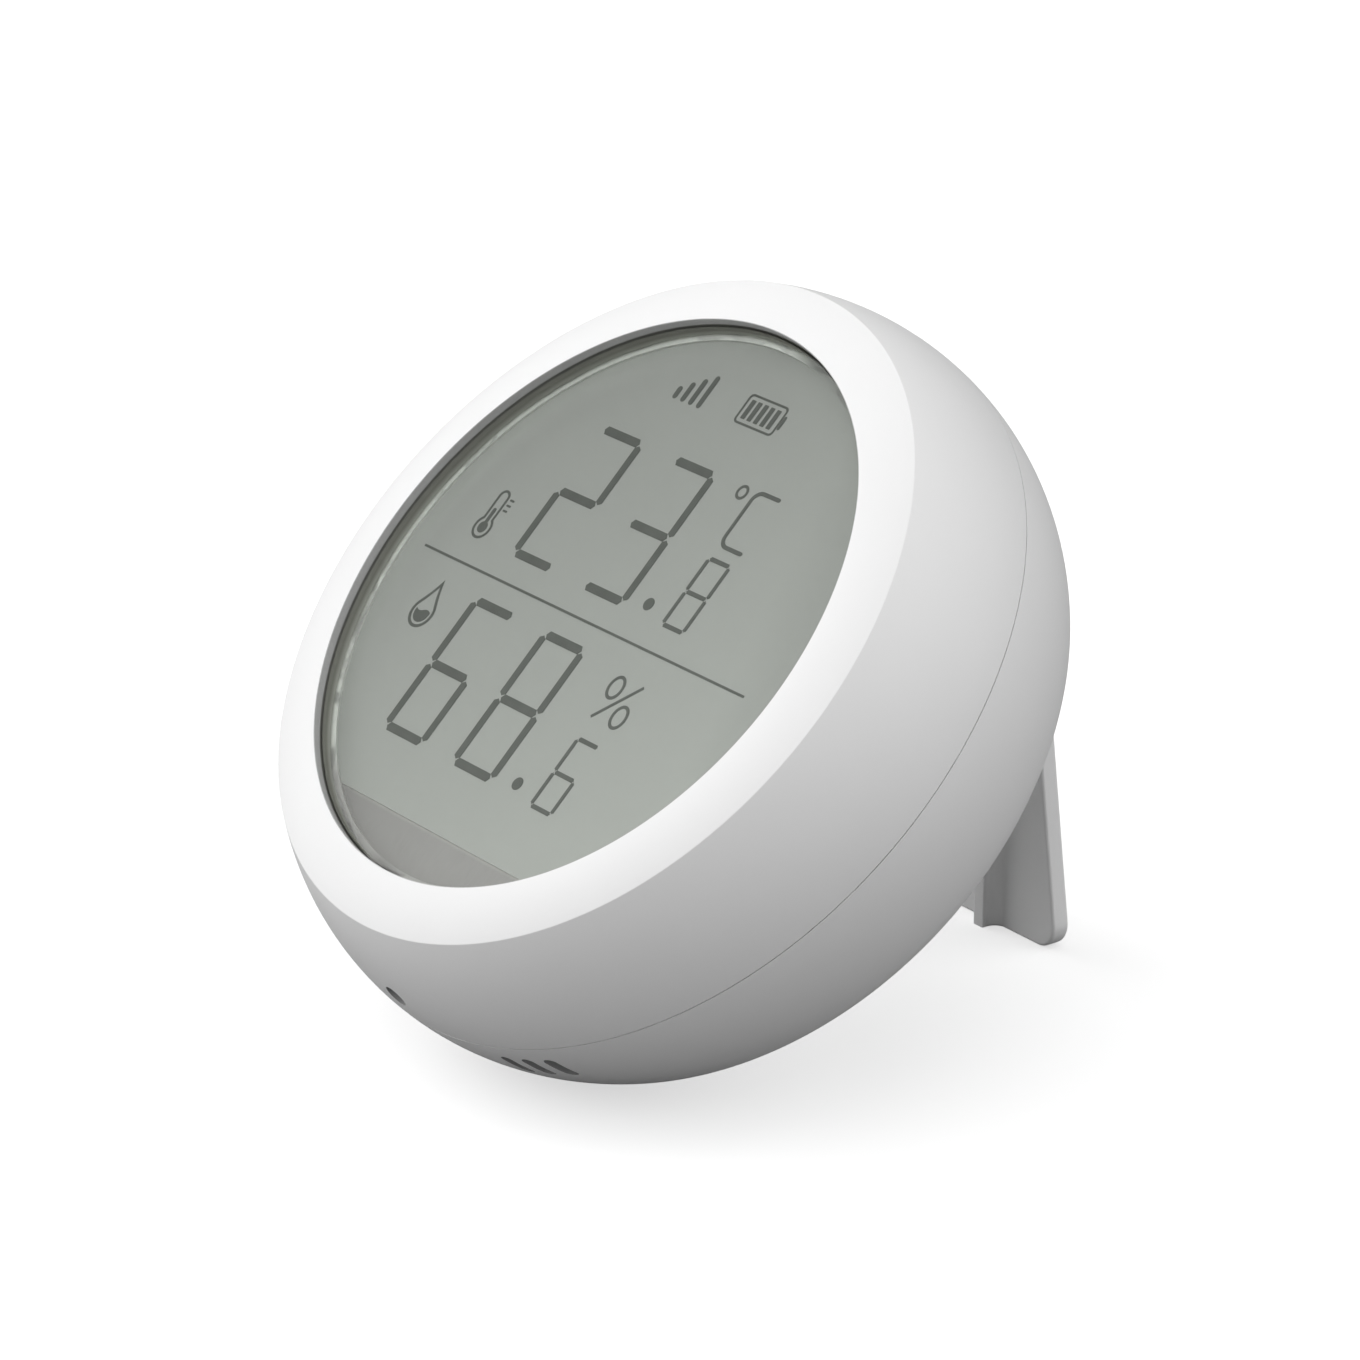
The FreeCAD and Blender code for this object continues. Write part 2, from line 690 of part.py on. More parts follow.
def make_chassis():
    """The inner frame: board posts, the cell tray and the twist-lock plate."""
    body = new_body("chassis")
    disc(body, "Pad", [("0", "0", "plate_radius")], "plate_depth", "plate_back")
    tray = box_points("-tray_half_length", "tray_half_length", "-tray_half_width", "tray_half_width")
    slab(body, "Pad", tray, "plate_depth", "cell_depth")
    hollow = box_points("-bay_half", "bay_half", "tray_wall - tray_half_width", "tray_half_width - tray_wall")
    slab(body, "Pocket", hollow, "plate_depth", "tray_floor_depth - tray_floor")
    post = disc(body, "Pad", at_boss("post_radius", "post_circle"), "board_back", "plate_depth")
    around(body, post, "boss_count")
    troughs = new_sketch(body, "YZ_Plane")
    for side in ("", "-"):
        draw_circle(troughs, side + "cell_y", "-cell_depth", "trough_radius")
    extrude(body, "Pocket", troughs, "2 * bay_half", midplane=True)
    ridge = box_points("-bay_half", "bay_half", "-cell_y / 2", "cell_y / 2")
    slab(body, "Pocket", ridge, "cell_depth - ridge_cut", "cell_depth")
    reach = "cell_y + contact_width / 2 + tail_clearance"
    for side in (-1, 1):
        ends = sorted(["%d * bay_half" % side, "%d * (bay_half - contact_slot)" % side], key=amount)
        slot = box_points(ends[0], ends[1], "-(%s)" % reach, reach)
        slab(body, "Pocket", slot, "contact_front - tail_clearance", "cell_depth")
    for side in ("", "-"):
        tail = box_points(
            "bay_half - contact_thickness - tail_clearance",
            "bay_half",
            side + "cell_y - tail_width / 2 - tail_clearance",
            side + "cell_y + tail_width / 2 + tail_clearance",
        )
        slab(body, "Pocket", tail, "plate_depth", "contact_front")
    window = box_points(
        "vent_x - sensor_board_width / 2 - sensor_clearance",
        "vent_x + sensor_board_width / 2 + sensor_clearance",
        "sensor_board_y - sensor_height - sensor_clearance",
        "sensor_board_y + sensor_board_thickness + sensor_clearance",
    )
    slab(body, "Pocket", window, "plate_depth", "plate_back")
    hole = disc(body, "Pocket", at_boss("screw_radius + screw_clearance"), "plate_depth", "plate_back")
    around(body, hole, "boss_count")
    notch_span = "lug_angle + 2 * notch_margin"
    notch_start = "-twist_angle - (%s) / 2" % notch_span
    sector = sector_points("notch_inner", "max_radius", notch_start, notch_span)
    notch = slab(body, "Pocket", sector, "plate_depth", "plate_back")
    around(body, notch, "lug_count")


def make_chassis_screws():
    body = new_body("chassis_screws")
    head = disc(body, "Pad", at_boss("screw_head_radius"), "plate_back", "plate_back + screw_head_height")
    around(body, head, "boss_count")
    shank = disc(body, "Pad", at_boss("screw_radius"), "plate_back - screw_length", "plate_back")
    around(body, shank, "boss_count")


def make_cell(label, side):
    """One cell along x. side is 1 where its button faces the outlet contacts."""
    body = new_body(label)
    middle_y = "%d * cell_y" % side
    can_start = "nub_end - cell_length" if side > 0 else "-nub_end + nub_length"
    can = new_sketch(body, "YZ_Plane", can_start)
    draw_circle(can, middle_y, "-cell_depth", "cell_radius")
    extrude(body, "Pad", can, "cell_length - nub_length")
    round_edges(body, "Chamfer", "cell_bevel", lambda edge: isinstance(edge.Curve, Part.Circle))
    nub = new_sketch(body, "YZ_Plane", "nub_end - nub_length - cell_bevel" if side > 0 else "-nub_end")
    draw_circle(nub, middle_y, "-cell_depth", "nub_radius")
    extrude(body, "Pad", nub, "nub_length + cell_bevel")


def upright_strip(body, side, y_low, y_high, front, back):
    """A flat of contact metal against the tray's end wall."""
    faces = sorted(["%d * bay_half" % side, "%d * (bay_half - contact_thickness)" % side], key=amount)
    slab(body, "Pad", box_points(faces[0], faces[1], y_low, y_high), front, back)


def contact_plate(body, side, y):
    low = "%s - contact_width / 2" % y
    high = "%s + contact_width / 2" % y
    upright_strip(body, side, low, high, "contact_front", "contact_back")


def contact_tail(body, side, y):
    low = "%s - tail_width / 2" % y
    high = "%s + tail_width / 2" % y
    upright_strip(body, side, low, high, "board_back", "contact_front")


def contact_dimple(body, side, y):
    plane = "%d * (bay_half - contact_thickness)" % side
    dimple = new_sketch(body, "YZ_Plane", plane)
    draw_circle(dimple, y, "-cell_depth", "dimple_radius")
    extrude(body, "Pad", dimple, "dimple_height", forward=side < 0)


def make_contacts():
    """Two outlet contacts with tails to the board, and the bridge at the far end."""
    body = new_body("contact_positive")
    contact_plate(body, 1, "cell_y")
    contact_tail(body, 1, "cell_y")
    contact_dimple(body, 1, "cell_y")
    body = new_body("contact_negative")
    contact_plate(body, 1, "-cell_y")
    contact_tail(body, 1, "-cell_y")
    body = new_body("contact_bridge")
    reach = "cell_y + contact_width / 2"
    upright_strip(body, -1, "-(%s)" % reach, reach, "contact_front", "contact_back")
    contact_dimple(body, -1, "-cell_y")


def make_spring(label, side):
    """A coil of round wire as a ruled loft through small polygons."""
    wire = size("spring_wire")
    radius = size("spring_radius")
    turns = size("spring_turns")
    steps = round(turns * SPRING_STEPS)
    travel = size("spring_length") - 2 * wire
    start = side * (size("bay_half") - size("contact_thickness") - wire)
    seat = Vector(start, -side * size("cell_y"), -size("cell_depth"))
    sections = []
    for step in range(steps + 1):
        turn = 2 * math.pi * turns * step / steps
        outward = Vector(0, math.cos(turn), math.sin(turn))
        middle = seat + outward * radius - Vector(side * travel * step / steps, 0, 0)
        corners = []
        for corner in range(WIRE_CORNERS):
            angle = 2 * math.pi * corner / WIRE_CORNERS
            corners.append(middle + outward * (wire * math.cos(angle)) + Vector(wire * math.sin(angle), 0, 0))
        sections.append(Part.makePolygon(corners + [corners[0]]))
    spring = doc.addObject("Part::Feature", label)
    spring.Label = label
    spring.Shape = Part.makeLoft(sections, True, True)
    spring.Placement = Placement(Vector(0, 0, 0), Rotation(Vector(1, 0, 0), 45))
    bind(spring, "Placement.Rotation.Angle", "90 - face_tilt")
    bind(spring, "Placement.Base.y", "origin_y")
    bind(spring, "Placement.Base.z", "lift")
    pieces.append(spring)


def make_rear_shell():
    """The bowl of the housing with vents, twist-lock lugs and hinge ears."""
    body = new_body("rear_shell")
    revolve(body, [
        ("joint_radius", "-joint_depth", "rear_arc_radius", -1),
        ("bend_radius", "-bend_depth", "corner_arc_radius", -1),
        ("corner_centre", "-back_depth"),
        ("0", "-back_depth"),
        ("0", "-inner_back"),
        ("corner_centre", "-inner_back"),
        on_arc("corner_centre", "-corner_depth", "corner_arc_radius - wall", "-90 + corner_turn / 3"),
        on_arc("corner_centre", "-corner_depth", "corner_arc_radius - wall", "-90 + corner_turn * 2 / 3"),
        ("bend_inner_radius", "-bend_inner_depth"),
        on_arc("rear_centre", "-equator_depth", "rear_arc_radius - wall", "-side_angle"),
        ("root_radius", "-slope_depth"),
        ("spigot_inner", "-root_depth"),
        ("spigot_inner", "-lug_front"),
        ("spigot_radius", "-lug_front"),
        ("spigot_radius", "-joint_depth"),
    ])
    rib = [("0", "0", "pad_rib_radius"), ("0", "0", "pad_rib_radius - pad_rib_width")]
    disc(body, "Pad", rib, "inner_back - cell_back_gap + pad_rib_gap", "inner_back")
    lug = slab(body, "Pad", sector_points(
        "lug_inner", "(spigot_inner + spigot_radius) / 2", "-lug_angle / 2", "lug_angle"
    ), "lug_front", "lug_back")
    around(body, lug, "lug_count")
    vents = new_sketch(body, "XZ_Plane")
    half = "vent_width / 2"
    for place in range(round(size("vent_count"))):
        middle = "vent_x + (%d - (vent_count - 1) / 2) * vent_pitch" % place
        top = "-vent_depth + vent_length / 2 - vent_width / 2"
        bottom = "-vent_depth - vent_length / 2 + vent_width / 2"
        draw_outline(vents, [
            ("%s + %s" % (middle, half), bottom),
            ("%s + %s" % (middle, half), top, half, 1),
            ("%s - %s" % (middle, half), top),
            ("%s - %s" % (middle, half), bottom, half, 1),
        ])
    extrude(body, "Pocket", vents, "max_radius", forward=True)
    root = "(corner_arc_radius - wall / 2)"
    ear = new_sketch(body, "YZ_Plane", "knuckle_width / 2 + ear_clearance")
    draw_outline(ear, [
        (
            "corner_centre + %s * cos(ear_lean - ear_spread)" % root,
            "-corner_depth - %s * sin(ear_lean - ear_spread)" % root,
        ),
        (
            "hinge_height + ear_radius * sin(ear_lean)",
            "-hinge_depth + ear_radius * cos(ear_lean)",
            "ear_radius",
            -1,
        ),
        (
            "hinge_height + ear_radius * cos(ear_lean)",
            "-hinge_depth - ear_radius * sin(ear_lean)",
            "ear_radius",
            -1,
        ),
        ("hinge_height - ear_radius * sin(ear_lean)", "-hinge_depth - ear_radius * cos(ear_lean)"),
        (
            "corner_centre + %s * cos(ear_lean + ear_spread)" % root,
            "-corner_depth - %s * sin(ear_lean + ear_spread)" % root,
        ),
    ])
    pad = extrude(body, "Pad", ear, "ear_thickness")
    mirrored = body.newObject("PartDesign::Mirrored", "Mirrored")
    mirrored.Originals = [pad]
    plane = [item for item in body.Origin.OriginFeatures if item.Role == "YZ_Plane"][0]
    mirrored.MirrorPlane = (plane, [""])
    body.Tip = mirrored
    doc.recompute()
    hole = new_sketch(body, "YZ_Plane")
    draw_circle(hole, "hinge_height", "-hinge_depth", "pin_radius")
    extrude(body, "Pocket", hole, "2 * ear_outer", midplane=True)


def make_hinge_pin():
    body = new_body("hinge_pin")
    pin = new_sketch(body, "YZ_Plane")
    draw_circle(pin, "hinge_height", "-hinge_depth", "pin_radius")
    extrude(body, "Pad", pin, "2 * ear_outer", midplane=True)


def make_stand_leg():
    """The leg in its own frame: hinge at the origin, foot along -y, rib towards +z."""
    body = new_body("stand_leg")
    bind(body, "Placement.Rotation.Angle", "90 - face_tilt + open_angle")
    bind(body, "Placement.Base.y", "origin_y + hinge_height * sin(face_tilt) + hinge_depth * cos(face_tilt)")
    bind(body, "Placement.Base.z", "lift + hinge_height * cos(face_tilt) - hinge_depth * sin(face_tilt)")
    plate = new_sketch(body, "XY_Plane")
    foot = "-leg_length - sole_trim"
    draw_outline(plate, [
        ("-knuckle_width / 2", "0"),
        ("-knuckle_width / 2", "-leg_neck"),
        ("-leg_top_width / 2", "-leg_neck"),
        ("-leg_foot_width / 2", foot),
        ("leg_foot_width / 2", foot),
        ("leg_top_width / 2", "-leg_neck"),
        ("knuckle_width / 2", "-leg_neck"),
        ("knuckle_width / 2", "0"),
    ])
    extrude(body, "Pad", plate, "leg_thickness", midplane=True)
    rib = new_sketch(body, "XZ_Plane", "rib_start")
    rib_top = "leg_thickness / 2 + rib_height"
    rib_root = "leg_thickness / 2 + rib_fillet"
    rib_reach = "rib_width / 2 + rib_fillet"
    draw_outline(rib, [
        ("-(%s)" % rib_reach, "0"),
        (rib_reach, "0"),
        (rib_reach, "leg_thickness / 2", "rib_fillet", -1),
        ("rib_width / 2", rib_root),
        ("rib_width / 2", rib_top),
        ("-rib_width / 2", rib_top),
        ("-rib_width / 2", rib_root, "rib_fillet", -1),
        ("-(%s)" % rib_reach, "leg_thickness / 2"),
    ])
    extrude(body, "Pad", rib, "leg_length + sole_trim - rib_start")
    knuckle = new_sketch(body, "YZ_Plane")
    draw_circle(knuckle, "0", "0", "ear_radius - knuckle_clearance")
    extrude(body, "Pad", knuckle, "knuckle_width", midplane=True)
    bore = new_sketch(body, "YZ_Plane")
    draw_circle(bore, "0", "0", "pin_radius + pin_clearance")
    extrude(body, "Pocket", bore, "knuckle_width", midplane=True)
    trim = new_sketch(body, "YZ_Plane")
    side = "(leg_thickness / 2 + rib_height + sole_trim)"
    draw_outline(trim, [
        ("-leg_length - 2 * sole_trim", "-" + side),
        ("-leg_length + %s * tan(sole_lean)" % side, "-" + side),
        ("-leg_length - %s * tan(sole_lean)" % side, side),
        ("-leg_length - 2 * sole_trim", side),
    ])
    extrude(body, "Pocket", trim, "leg_bottom_width + sole_trim", midplane=True)
    half = size("leg_bottom_width") / 2

    def foot_corner(edge):
        middle = edge.BoundBox.Center
        return (
            abs(abs(middle.x) - half) < size("leg_bottom_width") / 10
            and abs(middle.y + size("leg_length")) < size("leg_corner")
            and edge.BoundBox.ZLength > 0.9 * size("leg_thickness")
        )

    round_edges(body, "Fillet", "leg_corner", foot_corner)

    def long_edge(edge):
        """The sharp edges that run down the plate's sides and the rib's front."""
        middle = edge.BoundBox.Center
        above_plate = abs(middle.z) - size("leg_thickness") / 2
        plate_side = abs(above_plate) < SAME_EDGE and abs(middle.x) > size("rib_width")
        rib_front = abs(above_plate - size("rib_height")) < SAME_EDGE
        return edge.BoundBox.YLength > size("leg_length") / 2 and (plate_side or rib_front)

    round_edges(body, "Fillet", "leg_edge", long_edge)


make_front_shell()
make_window()
make_window_tape()
make_display()
make_display_frame()
make_zebra_strip()
make_main_board()
make_board_parts()
make_climate_sensor()
make_reset_switch()
make_chassis()
make_chassis_screws()
make_cell("battery_upper", 1)
make_cell("battery_lower", -1)
make_contacts()
make_spring("spring_upper", -1)
make_spring("spring_lower", 1)
make_rear_shell()
make_hinge_pin()
make_stand_leg()

# The origin lies on the desk under the middle of the whole object
whole = Part.makeCompound([piece.Shape for piece in pieces]).optimalBoundingBox(False)
sheet.set("B%d" % row_of["origin_y"], str(-(whole.YMin + whole.YMax) / 2))
doc.recompute()

for item in doc.Objects:
    if "Invalid" in item.State or "Error" in item.State:
        raise RuntimeError("%s (%s) has failed" % (item.Name, item.Label))
for piece in pieces:
    if piece.Shape.isNull() or not piece.Shape.isValid():
        raise RuntimeError(piece.Label + " has no valid shape")

os.makedirs("parts", exist_ok=True)
for piece in pieces:
    piece.Shape.exportStep("parts/%s.step" % piece.Label)
    print("%-18s %d solid(s), %.1f mm3" % (piece.Label, len(piece.Shape.Solids), piece.Shape.Volume))
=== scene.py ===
"""Looks of a round desk thermometer and hygrometer on a fold-out stand.

Lengths are millimetres in the device frame until a mesh is set down: x to the right of the
display, y up the display and z out of its face, from the middle of the display opening.
Materials read the pieces as they stand, so the lengths in them are metres.
"""
import json
import math

import bpy
import bmesh
from mathutils import Matrix, Vector


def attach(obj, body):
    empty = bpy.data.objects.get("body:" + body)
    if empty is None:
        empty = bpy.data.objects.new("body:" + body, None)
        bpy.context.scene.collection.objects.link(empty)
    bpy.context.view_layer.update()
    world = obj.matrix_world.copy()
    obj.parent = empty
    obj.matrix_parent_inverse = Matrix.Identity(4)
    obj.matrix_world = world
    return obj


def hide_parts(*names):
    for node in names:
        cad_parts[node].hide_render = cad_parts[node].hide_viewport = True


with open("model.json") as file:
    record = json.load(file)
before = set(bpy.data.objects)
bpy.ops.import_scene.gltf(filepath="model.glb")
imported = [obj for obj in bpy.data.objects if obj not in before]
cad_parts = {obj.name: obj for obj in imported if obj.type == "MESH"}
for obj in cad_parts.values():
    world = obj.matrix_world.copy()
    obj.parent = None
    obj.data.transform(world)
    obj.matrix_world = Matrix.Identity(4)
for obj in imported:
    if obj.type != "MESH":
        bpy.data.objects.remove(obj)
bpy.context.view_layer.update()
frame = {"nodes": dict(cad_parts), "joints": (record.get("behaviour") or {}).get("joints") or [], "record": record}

# The device frame, as the twist of the rear shell gives it
twist = next(joint for joint in frame["joints"] if joint["name"] == "cover_twist")
RIGHT = Vector((1, 0, 0))
OUT = -Vector(twist["axis"]).normalized()
UP = OUT.cross(RIGHT)
ORIGIN = Vector(twist["pos_m"])
TILT = Matrix((RIGHT, UP, OUT)).transposed()
MM = 0.001
DEVICE = Matrix.Translation(ORIGIN) @ TILT.to_4x4() @ Matrix.Scale(MM, 4)

# Outline of the housing: lengths, and the angle of the rear arc in degrees
MAX_RADIUS = 34.0
EQUATOR = 12.25
OPENING = 26.5
CREASE_DEPTH = 1.05
FRONT_ARC = 22.7
REAR_ARC = 21.95
REAR_TURN = 31.7
CORNER_ARC = 12.0
WALL = 1.6
PARTING_GAP = 0.12
LIP_DEPTH = 2.1
LIP_RADIUS = 0.06
CREASE_RADIUS = 0.15
RING_CROWN = 0.2

# Joint of the two shells, the screw bosses and the lugs behind the chassis plate
SPIGOT_CLEARANCE = 0.3
SPIGOT_WALL = 0.9
SPIGOT_ROOT = 1.6
ROOT_SLOPE = 1.0
SPIGOT = MAX_RADIUS - WALL - SPIGOT_CLEARANCE
SPIGOT_INNER = SPIGOT - SPIGOT_WALL
PLATE_DEPTH = 10.95
BOSS_COUNT = 4
BOSS_RADIUS = 1.7
BOSS_CLEARANCE = 0.4
BOSS_SINK = 0.5
BOSS_CIRCLE = SPIGOT_INNER - BOSS_RADIUS - BOSS_CLEARANCE
PILOT_RADIUS = 0.8
PILOT_LENGTH = 6.0
LUG_COUNT = 4
LUG_TURN = 14.0
LUG_REACH = 1.2
LUG_THICKNESS = 0.9
LUG_CLEARANCE = 0.2
LUG_INNER = SPIGOT_INNER - LUG_REACH
LUG_BACK = PLATE_DEPTH - LUG_CLEARANCE
LUG_FRONT = LUG_BACK - LUG_THICKNESS

# Openings in the underside and the rib inside the bowl
PIN_HOLE_RADIUS = 1.05
PIN_HOLE_DEPTH = 8.55
VENT_PLACES = (-1, 0, 1)
VENT_X = 10.7
VENT_DEPTH = 15.8
VENT_PITCH = 2.25
VENT_WIDTH = 1.15
VENT_LENGTH = 3.4
RIB_RADIUS = 9.0
RIB_WIDTH = 1.2
RIB_HEIGHT = 0.65

# Hinge of the stand
HINGE_HEIGHT = 28.9
HINGE_STANDOFF = 2.7
PIN_RADIUS = 0.75
EAR_RADIUS = 2.0
EAR_THICKNESS = 1.5
EAR_SPREAD = 18.0
EAR_INNER = 2.4
EAR_OUTER = EAR_INNER + EAR_THICKNESS

# A cutting tool runs on past what it cuts, and one from below runs from outside to inside the housing
CUT_MARGIN = 0.5
FROM_BELOW = (-40.0, -20.0)

# Facets round the axis and round a fillet
ROUND_STEPS = 256
FILLET_STEPS = 8

# Degrees that an arc leaves to the fillet at its end
FILLET_SHARE = 0.3

# Points this near an edge keep the shading of a straight wall and of the flat back from bending
WALL_MARGIN = 0.1
FLAT_MARGIN = 0.2

# Edges that turn by more degrees than this stay sharp
SHARP_ANGLE = 30.0
LEG_SHARP_ANGLE = 35.0

# Points nearer than this become one: round the axis in millimetres, on the leg in metres
POLE_DISTANCE = 0.0001
WELD_DISTANCE = 1e-7


def add_object(name, data):
    """A new object in the scene."""
    made = bpy.data.objects.new(name, data)
    bpy.context.scene.collection.objects.link(made)
    return made


# Camera

CAMERA_PLACE = Vector((362.998, -67.331, 282.354))
CAMERA_ACROSS = Vector((0.577734, 0.577393, -0.576923))
CAMERA_FORWARD = Vector((-0.76739, 0.143418, -0.624934))
CAMERA_LENS = 155.772
SENSOR_WIDTH = 36.0


def add_camera():
    """The photo's view: a long lens above and to the right of the display."""
    data = bpy.data.cameras.new("camera")
    data.sensor_width = SENSOR_WIDTH
    data.lens = CAMERA_LENS
    data.clip_start = 0.01
    data.clip_end = 10
    camera = add_object("camera", data)
    across = CAMERA_ACROSS.normalized()
    forward = (CAMERA_FORWARD - across * CAMERA_FORWARD.dot(across)).normalized()
    above = across.cross(forward)
    turn = Matrix((across, above, -forward)).transposed()
    camera.matrix_world = Matrix.Translation(DEVICE @ CAMERA_PLACE) @ (TILT @ turn).to_4x4()
    bpy.context.scene.camera = camera


add_camera()


# Helpers for materials

def new_material(name):
    """A material with its node tree and its shader."""
    material = bpy.data.materials.new(name)
    material.use_nodes = True
    tree = material.node_tree
    shader = tree.nodes["Principled BSDF"]
    return material, tree, shader


def node(tree, kind, **values):
    """A node with its properties and its inputs set by name."""
    made = tree.nodes.new(kind)
    for key, value in values.items():
        if hasattr(made, key):
            setattr(made, key, value)
        else:
            made.inputs[key.replace("_", " ")].default_value = value
    return made


def grain(tree, scale, detail=2.0, stretch=(1, 1, 1)):
    """Noise over the piece's own coordinates."""
    place = node(tree, "ShaderNodeTexCoord")
    mapping = node(tree, "ShaderNodeMapping")
    mapping.inputs["Scale"].default_value = stretch
    noise = node(tree, "ShaderNodeTexNoise", Scale=scale, Detail=detail)
    tree.links.new(place.outputs["Object"], mapping.inputs["Vector"])
    tree.links.new(mapping.outputs["Vector"], noise.inputs["Vector"])
    return noise.outputs["Fac"]


def blend(tree, fac, low, high):
    """A colour between two, by the middle stretch of a factor."""
    ramp = node(tree, "ShaderNodeValToRGB")
    for element, position, colour in zip(ramp.color_ramp.elements, (0.3, 0.7), (low, high)):
        element.position = position
        element.color = (*colour, 1)
    tree.links.new(fac, ramp.inputs["Fac"])
    return ramp.outputs["Color"]


def shade(colour, factor):
    """A plain colour times a number."""
    return tuple(channel * factor for channel in colour)


def ranged(tree, value, from_low, from_high, to_low=0.0, to_high=1.0):
    """A value carried from one range to another and held inside it."""
    made = node(tree, "ShaderNodeMapRange")
    made.inputs["From Min"].default_value = from_low
    made.inputs["From Max"].default_value = from_high
    made.inputs["To Min"].default_value = to_low
    made.inputs["To Max"].default_value = to_high
    tree.links.new(value, made.inputs["Value"])
    return made.outputs["Result"]


def spread(tree, shader, socket, fac, low, high):
    """Varies one of the shader's values between two numbers by a factor."""
    tree.links.new(ranged(tree, fac, 0, 1, low, high), shader.inputs[socket])


def bump(tree, shader, height, depth, strength):
    """Small relief of a depth in metres."""
    made = node(tree, "ShaderNodeBump", Strength=strength, Distance=depth)
    tree.links.new(height, made.inputs["Height"])
    tree.links.new(made.outputs["Normal"], shader.inputs["Normal"])


def maths(tree, operation, first, second=0.0):
    """Two values, or a value and a number, put together."""
    made = node(tree, "ShaderNodeMath", operation=operation)
    for socket, given in zip(made.inputs, (first, second)):
        if isinstance(given, (int, float)):
            socket.default_value = given
        else:
            tree.links.new(given, socket)
    return made.outputs["Value"]


def mixed_colour(tree, fac, first, second):
    """One colour or another by a factor."""
    made = node(tree, "ShaderNodeMix", data_type="RGBA")
    tree.links.new(fac, made.inputs["Factor"])
    for name, given in (("A", first), ("B", second)):
        if isinstance(given, tuple):
            made.inputs[name].default_value = (*given, 1)
        else:
            tree.links.new(given, made.inputs[name])
    return made.outputs["Result"]


def scaled(tree, colour, factor):
    """A node's colour times a node's value."""
    made = node(tree, "ShaderNodeVectorMath", operation="SCALE")
    tree.links.new(colour, made.inputs[0])
    tree.links.new(factor, made.inputs["Scale"])
    return made.outputs["Vector"]


def along(tree, direction):
    """How far a point lies along a direction from the device frame's origin, in metres."""
    place = node(tree, "ShaderNodeTexCoord")
    moved = node(tree, "ShaderNodeVectorMath", operation="SUBTRACT")
    tree.links.new(place.outputs["Object"], moved.inputs[0])
    moved.inputs[1].default_value = ORIGIN
    dot = node(tree, "ShaderNodeVectorMath", operation="DOT_PRODUCT")
    tree.links.new(moved.outputs["Vector"], dot.inputs[0])
    dot.inputs[1].default_value = direction
    return dot.outputs["Value"]


def radius_of(tree):
    """How far a point lies from the axis of the display, in metres."""
    across = along(tree, RIGHT)
    up = along(tree, UP)
    across_squared = maths(tree, "MULTIPLY", across, across)
    up_squared = maths(tree, "MULTIPLY", up, up)
    return maths(tree, "SQRT", maths(tree, "ADD", across_squared, up_squared))


def edge_of(tree):
    """One on the side walls of a flat piece across the display's axis, nothing on its faces."""
    normal = node(tree, "ShaderNodeNewGeometry")
    dot = node(tree, "ShaderNodeVectorMath", operation="DOT_PRODUCT")
    tree.links.new(normal.outputs["True Normal"], dot.inputs[0])
    dot.inputs[1].default_value = OUT
    return maths(tree, "LESS_THAN", maths(tree, "ABSOLUTE", dot.outputs["Value"]), 0.3)


# Materials of the skins

def moulded(name, colour, roughness=0.42, texture=3200, depth=0.000004):
    """Satin moulded plastic with a fine eroded surface and a faint cloudiness."""
    material, tree, shader = new_material(name)
    cloud = grain(tree, 90)
    fine = grain(tree, texture, 3.0)
    tree.links.new(blend(tree, cloud, shade(colour, 0.985), colour), shader.inputs["Base Color"])
    spread(tree, shader, "Roughness", fine, roughness - 0.05, roughness + 0.05)
    shader.inputs["Specular IOR Level"].default_value = 0.4
    bump(tree, shader, fine, depth, 0.5)
    return material


def opening_wall():
    """The wall round the display, painted grey as shade down to the window, with a darker painted shadow in the
    gap beside it.
    """
    material, tree, shader = new_material("opening_painted_shade")
    fine = grain(tree, 3200, 3.0)
    above = ranged(tree, along(tree, OUT), -0.00078, -0.00067)
    # Painted shade: the white wall is drawn grey, and darker still as a painted shadow in the gap below the
    # window's top
    wall = blend(tree, fine, (0.5, 0.5, 0.5), (0.53, 0.53, 0.53))
    painted_gap_shade = (0.2, 0.2, 0.185)
    tree.links.new(mixed_colour(tree, above, painted_gap_shade, wall), shader.inputs["Base Color"])
    spread(tree, shader, "Roughness", fine, 0.3, 0.4)
    shader.inputs["Specular IOR Level"].default_value = 0.4
    return material


housing_white = moulded("housing_white", (0.84, 0.84, 0.84))
stand_white = moulded("stand_white", (0.9, 0.9, 0.9), 0.45)
# Painted shade: the cut walls of the vents and the pin hole are the white plastic drawn dark grey
recess_painted_shade = moulded("recess_painted_shade", (0.3, 0.3, 0.3), 0.6)
# The wall round the opening carries painted shade
opening_painted_shade = opening_wall()


# Outlines

def polar(x, z, radius, turn):
    """The point at a radius and an angle in degrees from a middle."""
    angle = math.radians(turn)
    return x + radius * math.cos(angle), z + radius * math.sin(angle)


def arc(x, z, radius, start, end, steps):
    """Points on an arc round a middle, both ends included."""
    return [polar(x, z, radius, start + (end - start) * step / steps) for step in range(steps + 1)]


def fillet(corner, arrive, leave, radius):
    """Points round a corner where a path turns right, from one heading in degrees to another."""
    back = radius * math.tan(math.radians(arrive - leave) / 2)
    middle = polar(*polar(*corner, -back, arrive), radius, arrive - 90)
    return arc(*middle, radius, arrive + 90, leave + 90, FILLET_STEPS)


def round_outline(x, y, radius, steps=48):
    """A full circle, its first point not repeated."""
    return arc(x, y, radius, 0, 360 * (steps - 1) / steps, steps - 1)


def slot_outline(x, y, width, length):
    """An upright slot with round ends."""
    rise = (length - width) / 2
    top = arc(x, y + rise, width / 2, 0, 180, 16)
    bottom = arc(x, y - rise, width / 2, 180, 360, 16)
    return top + bottom


# Meshes

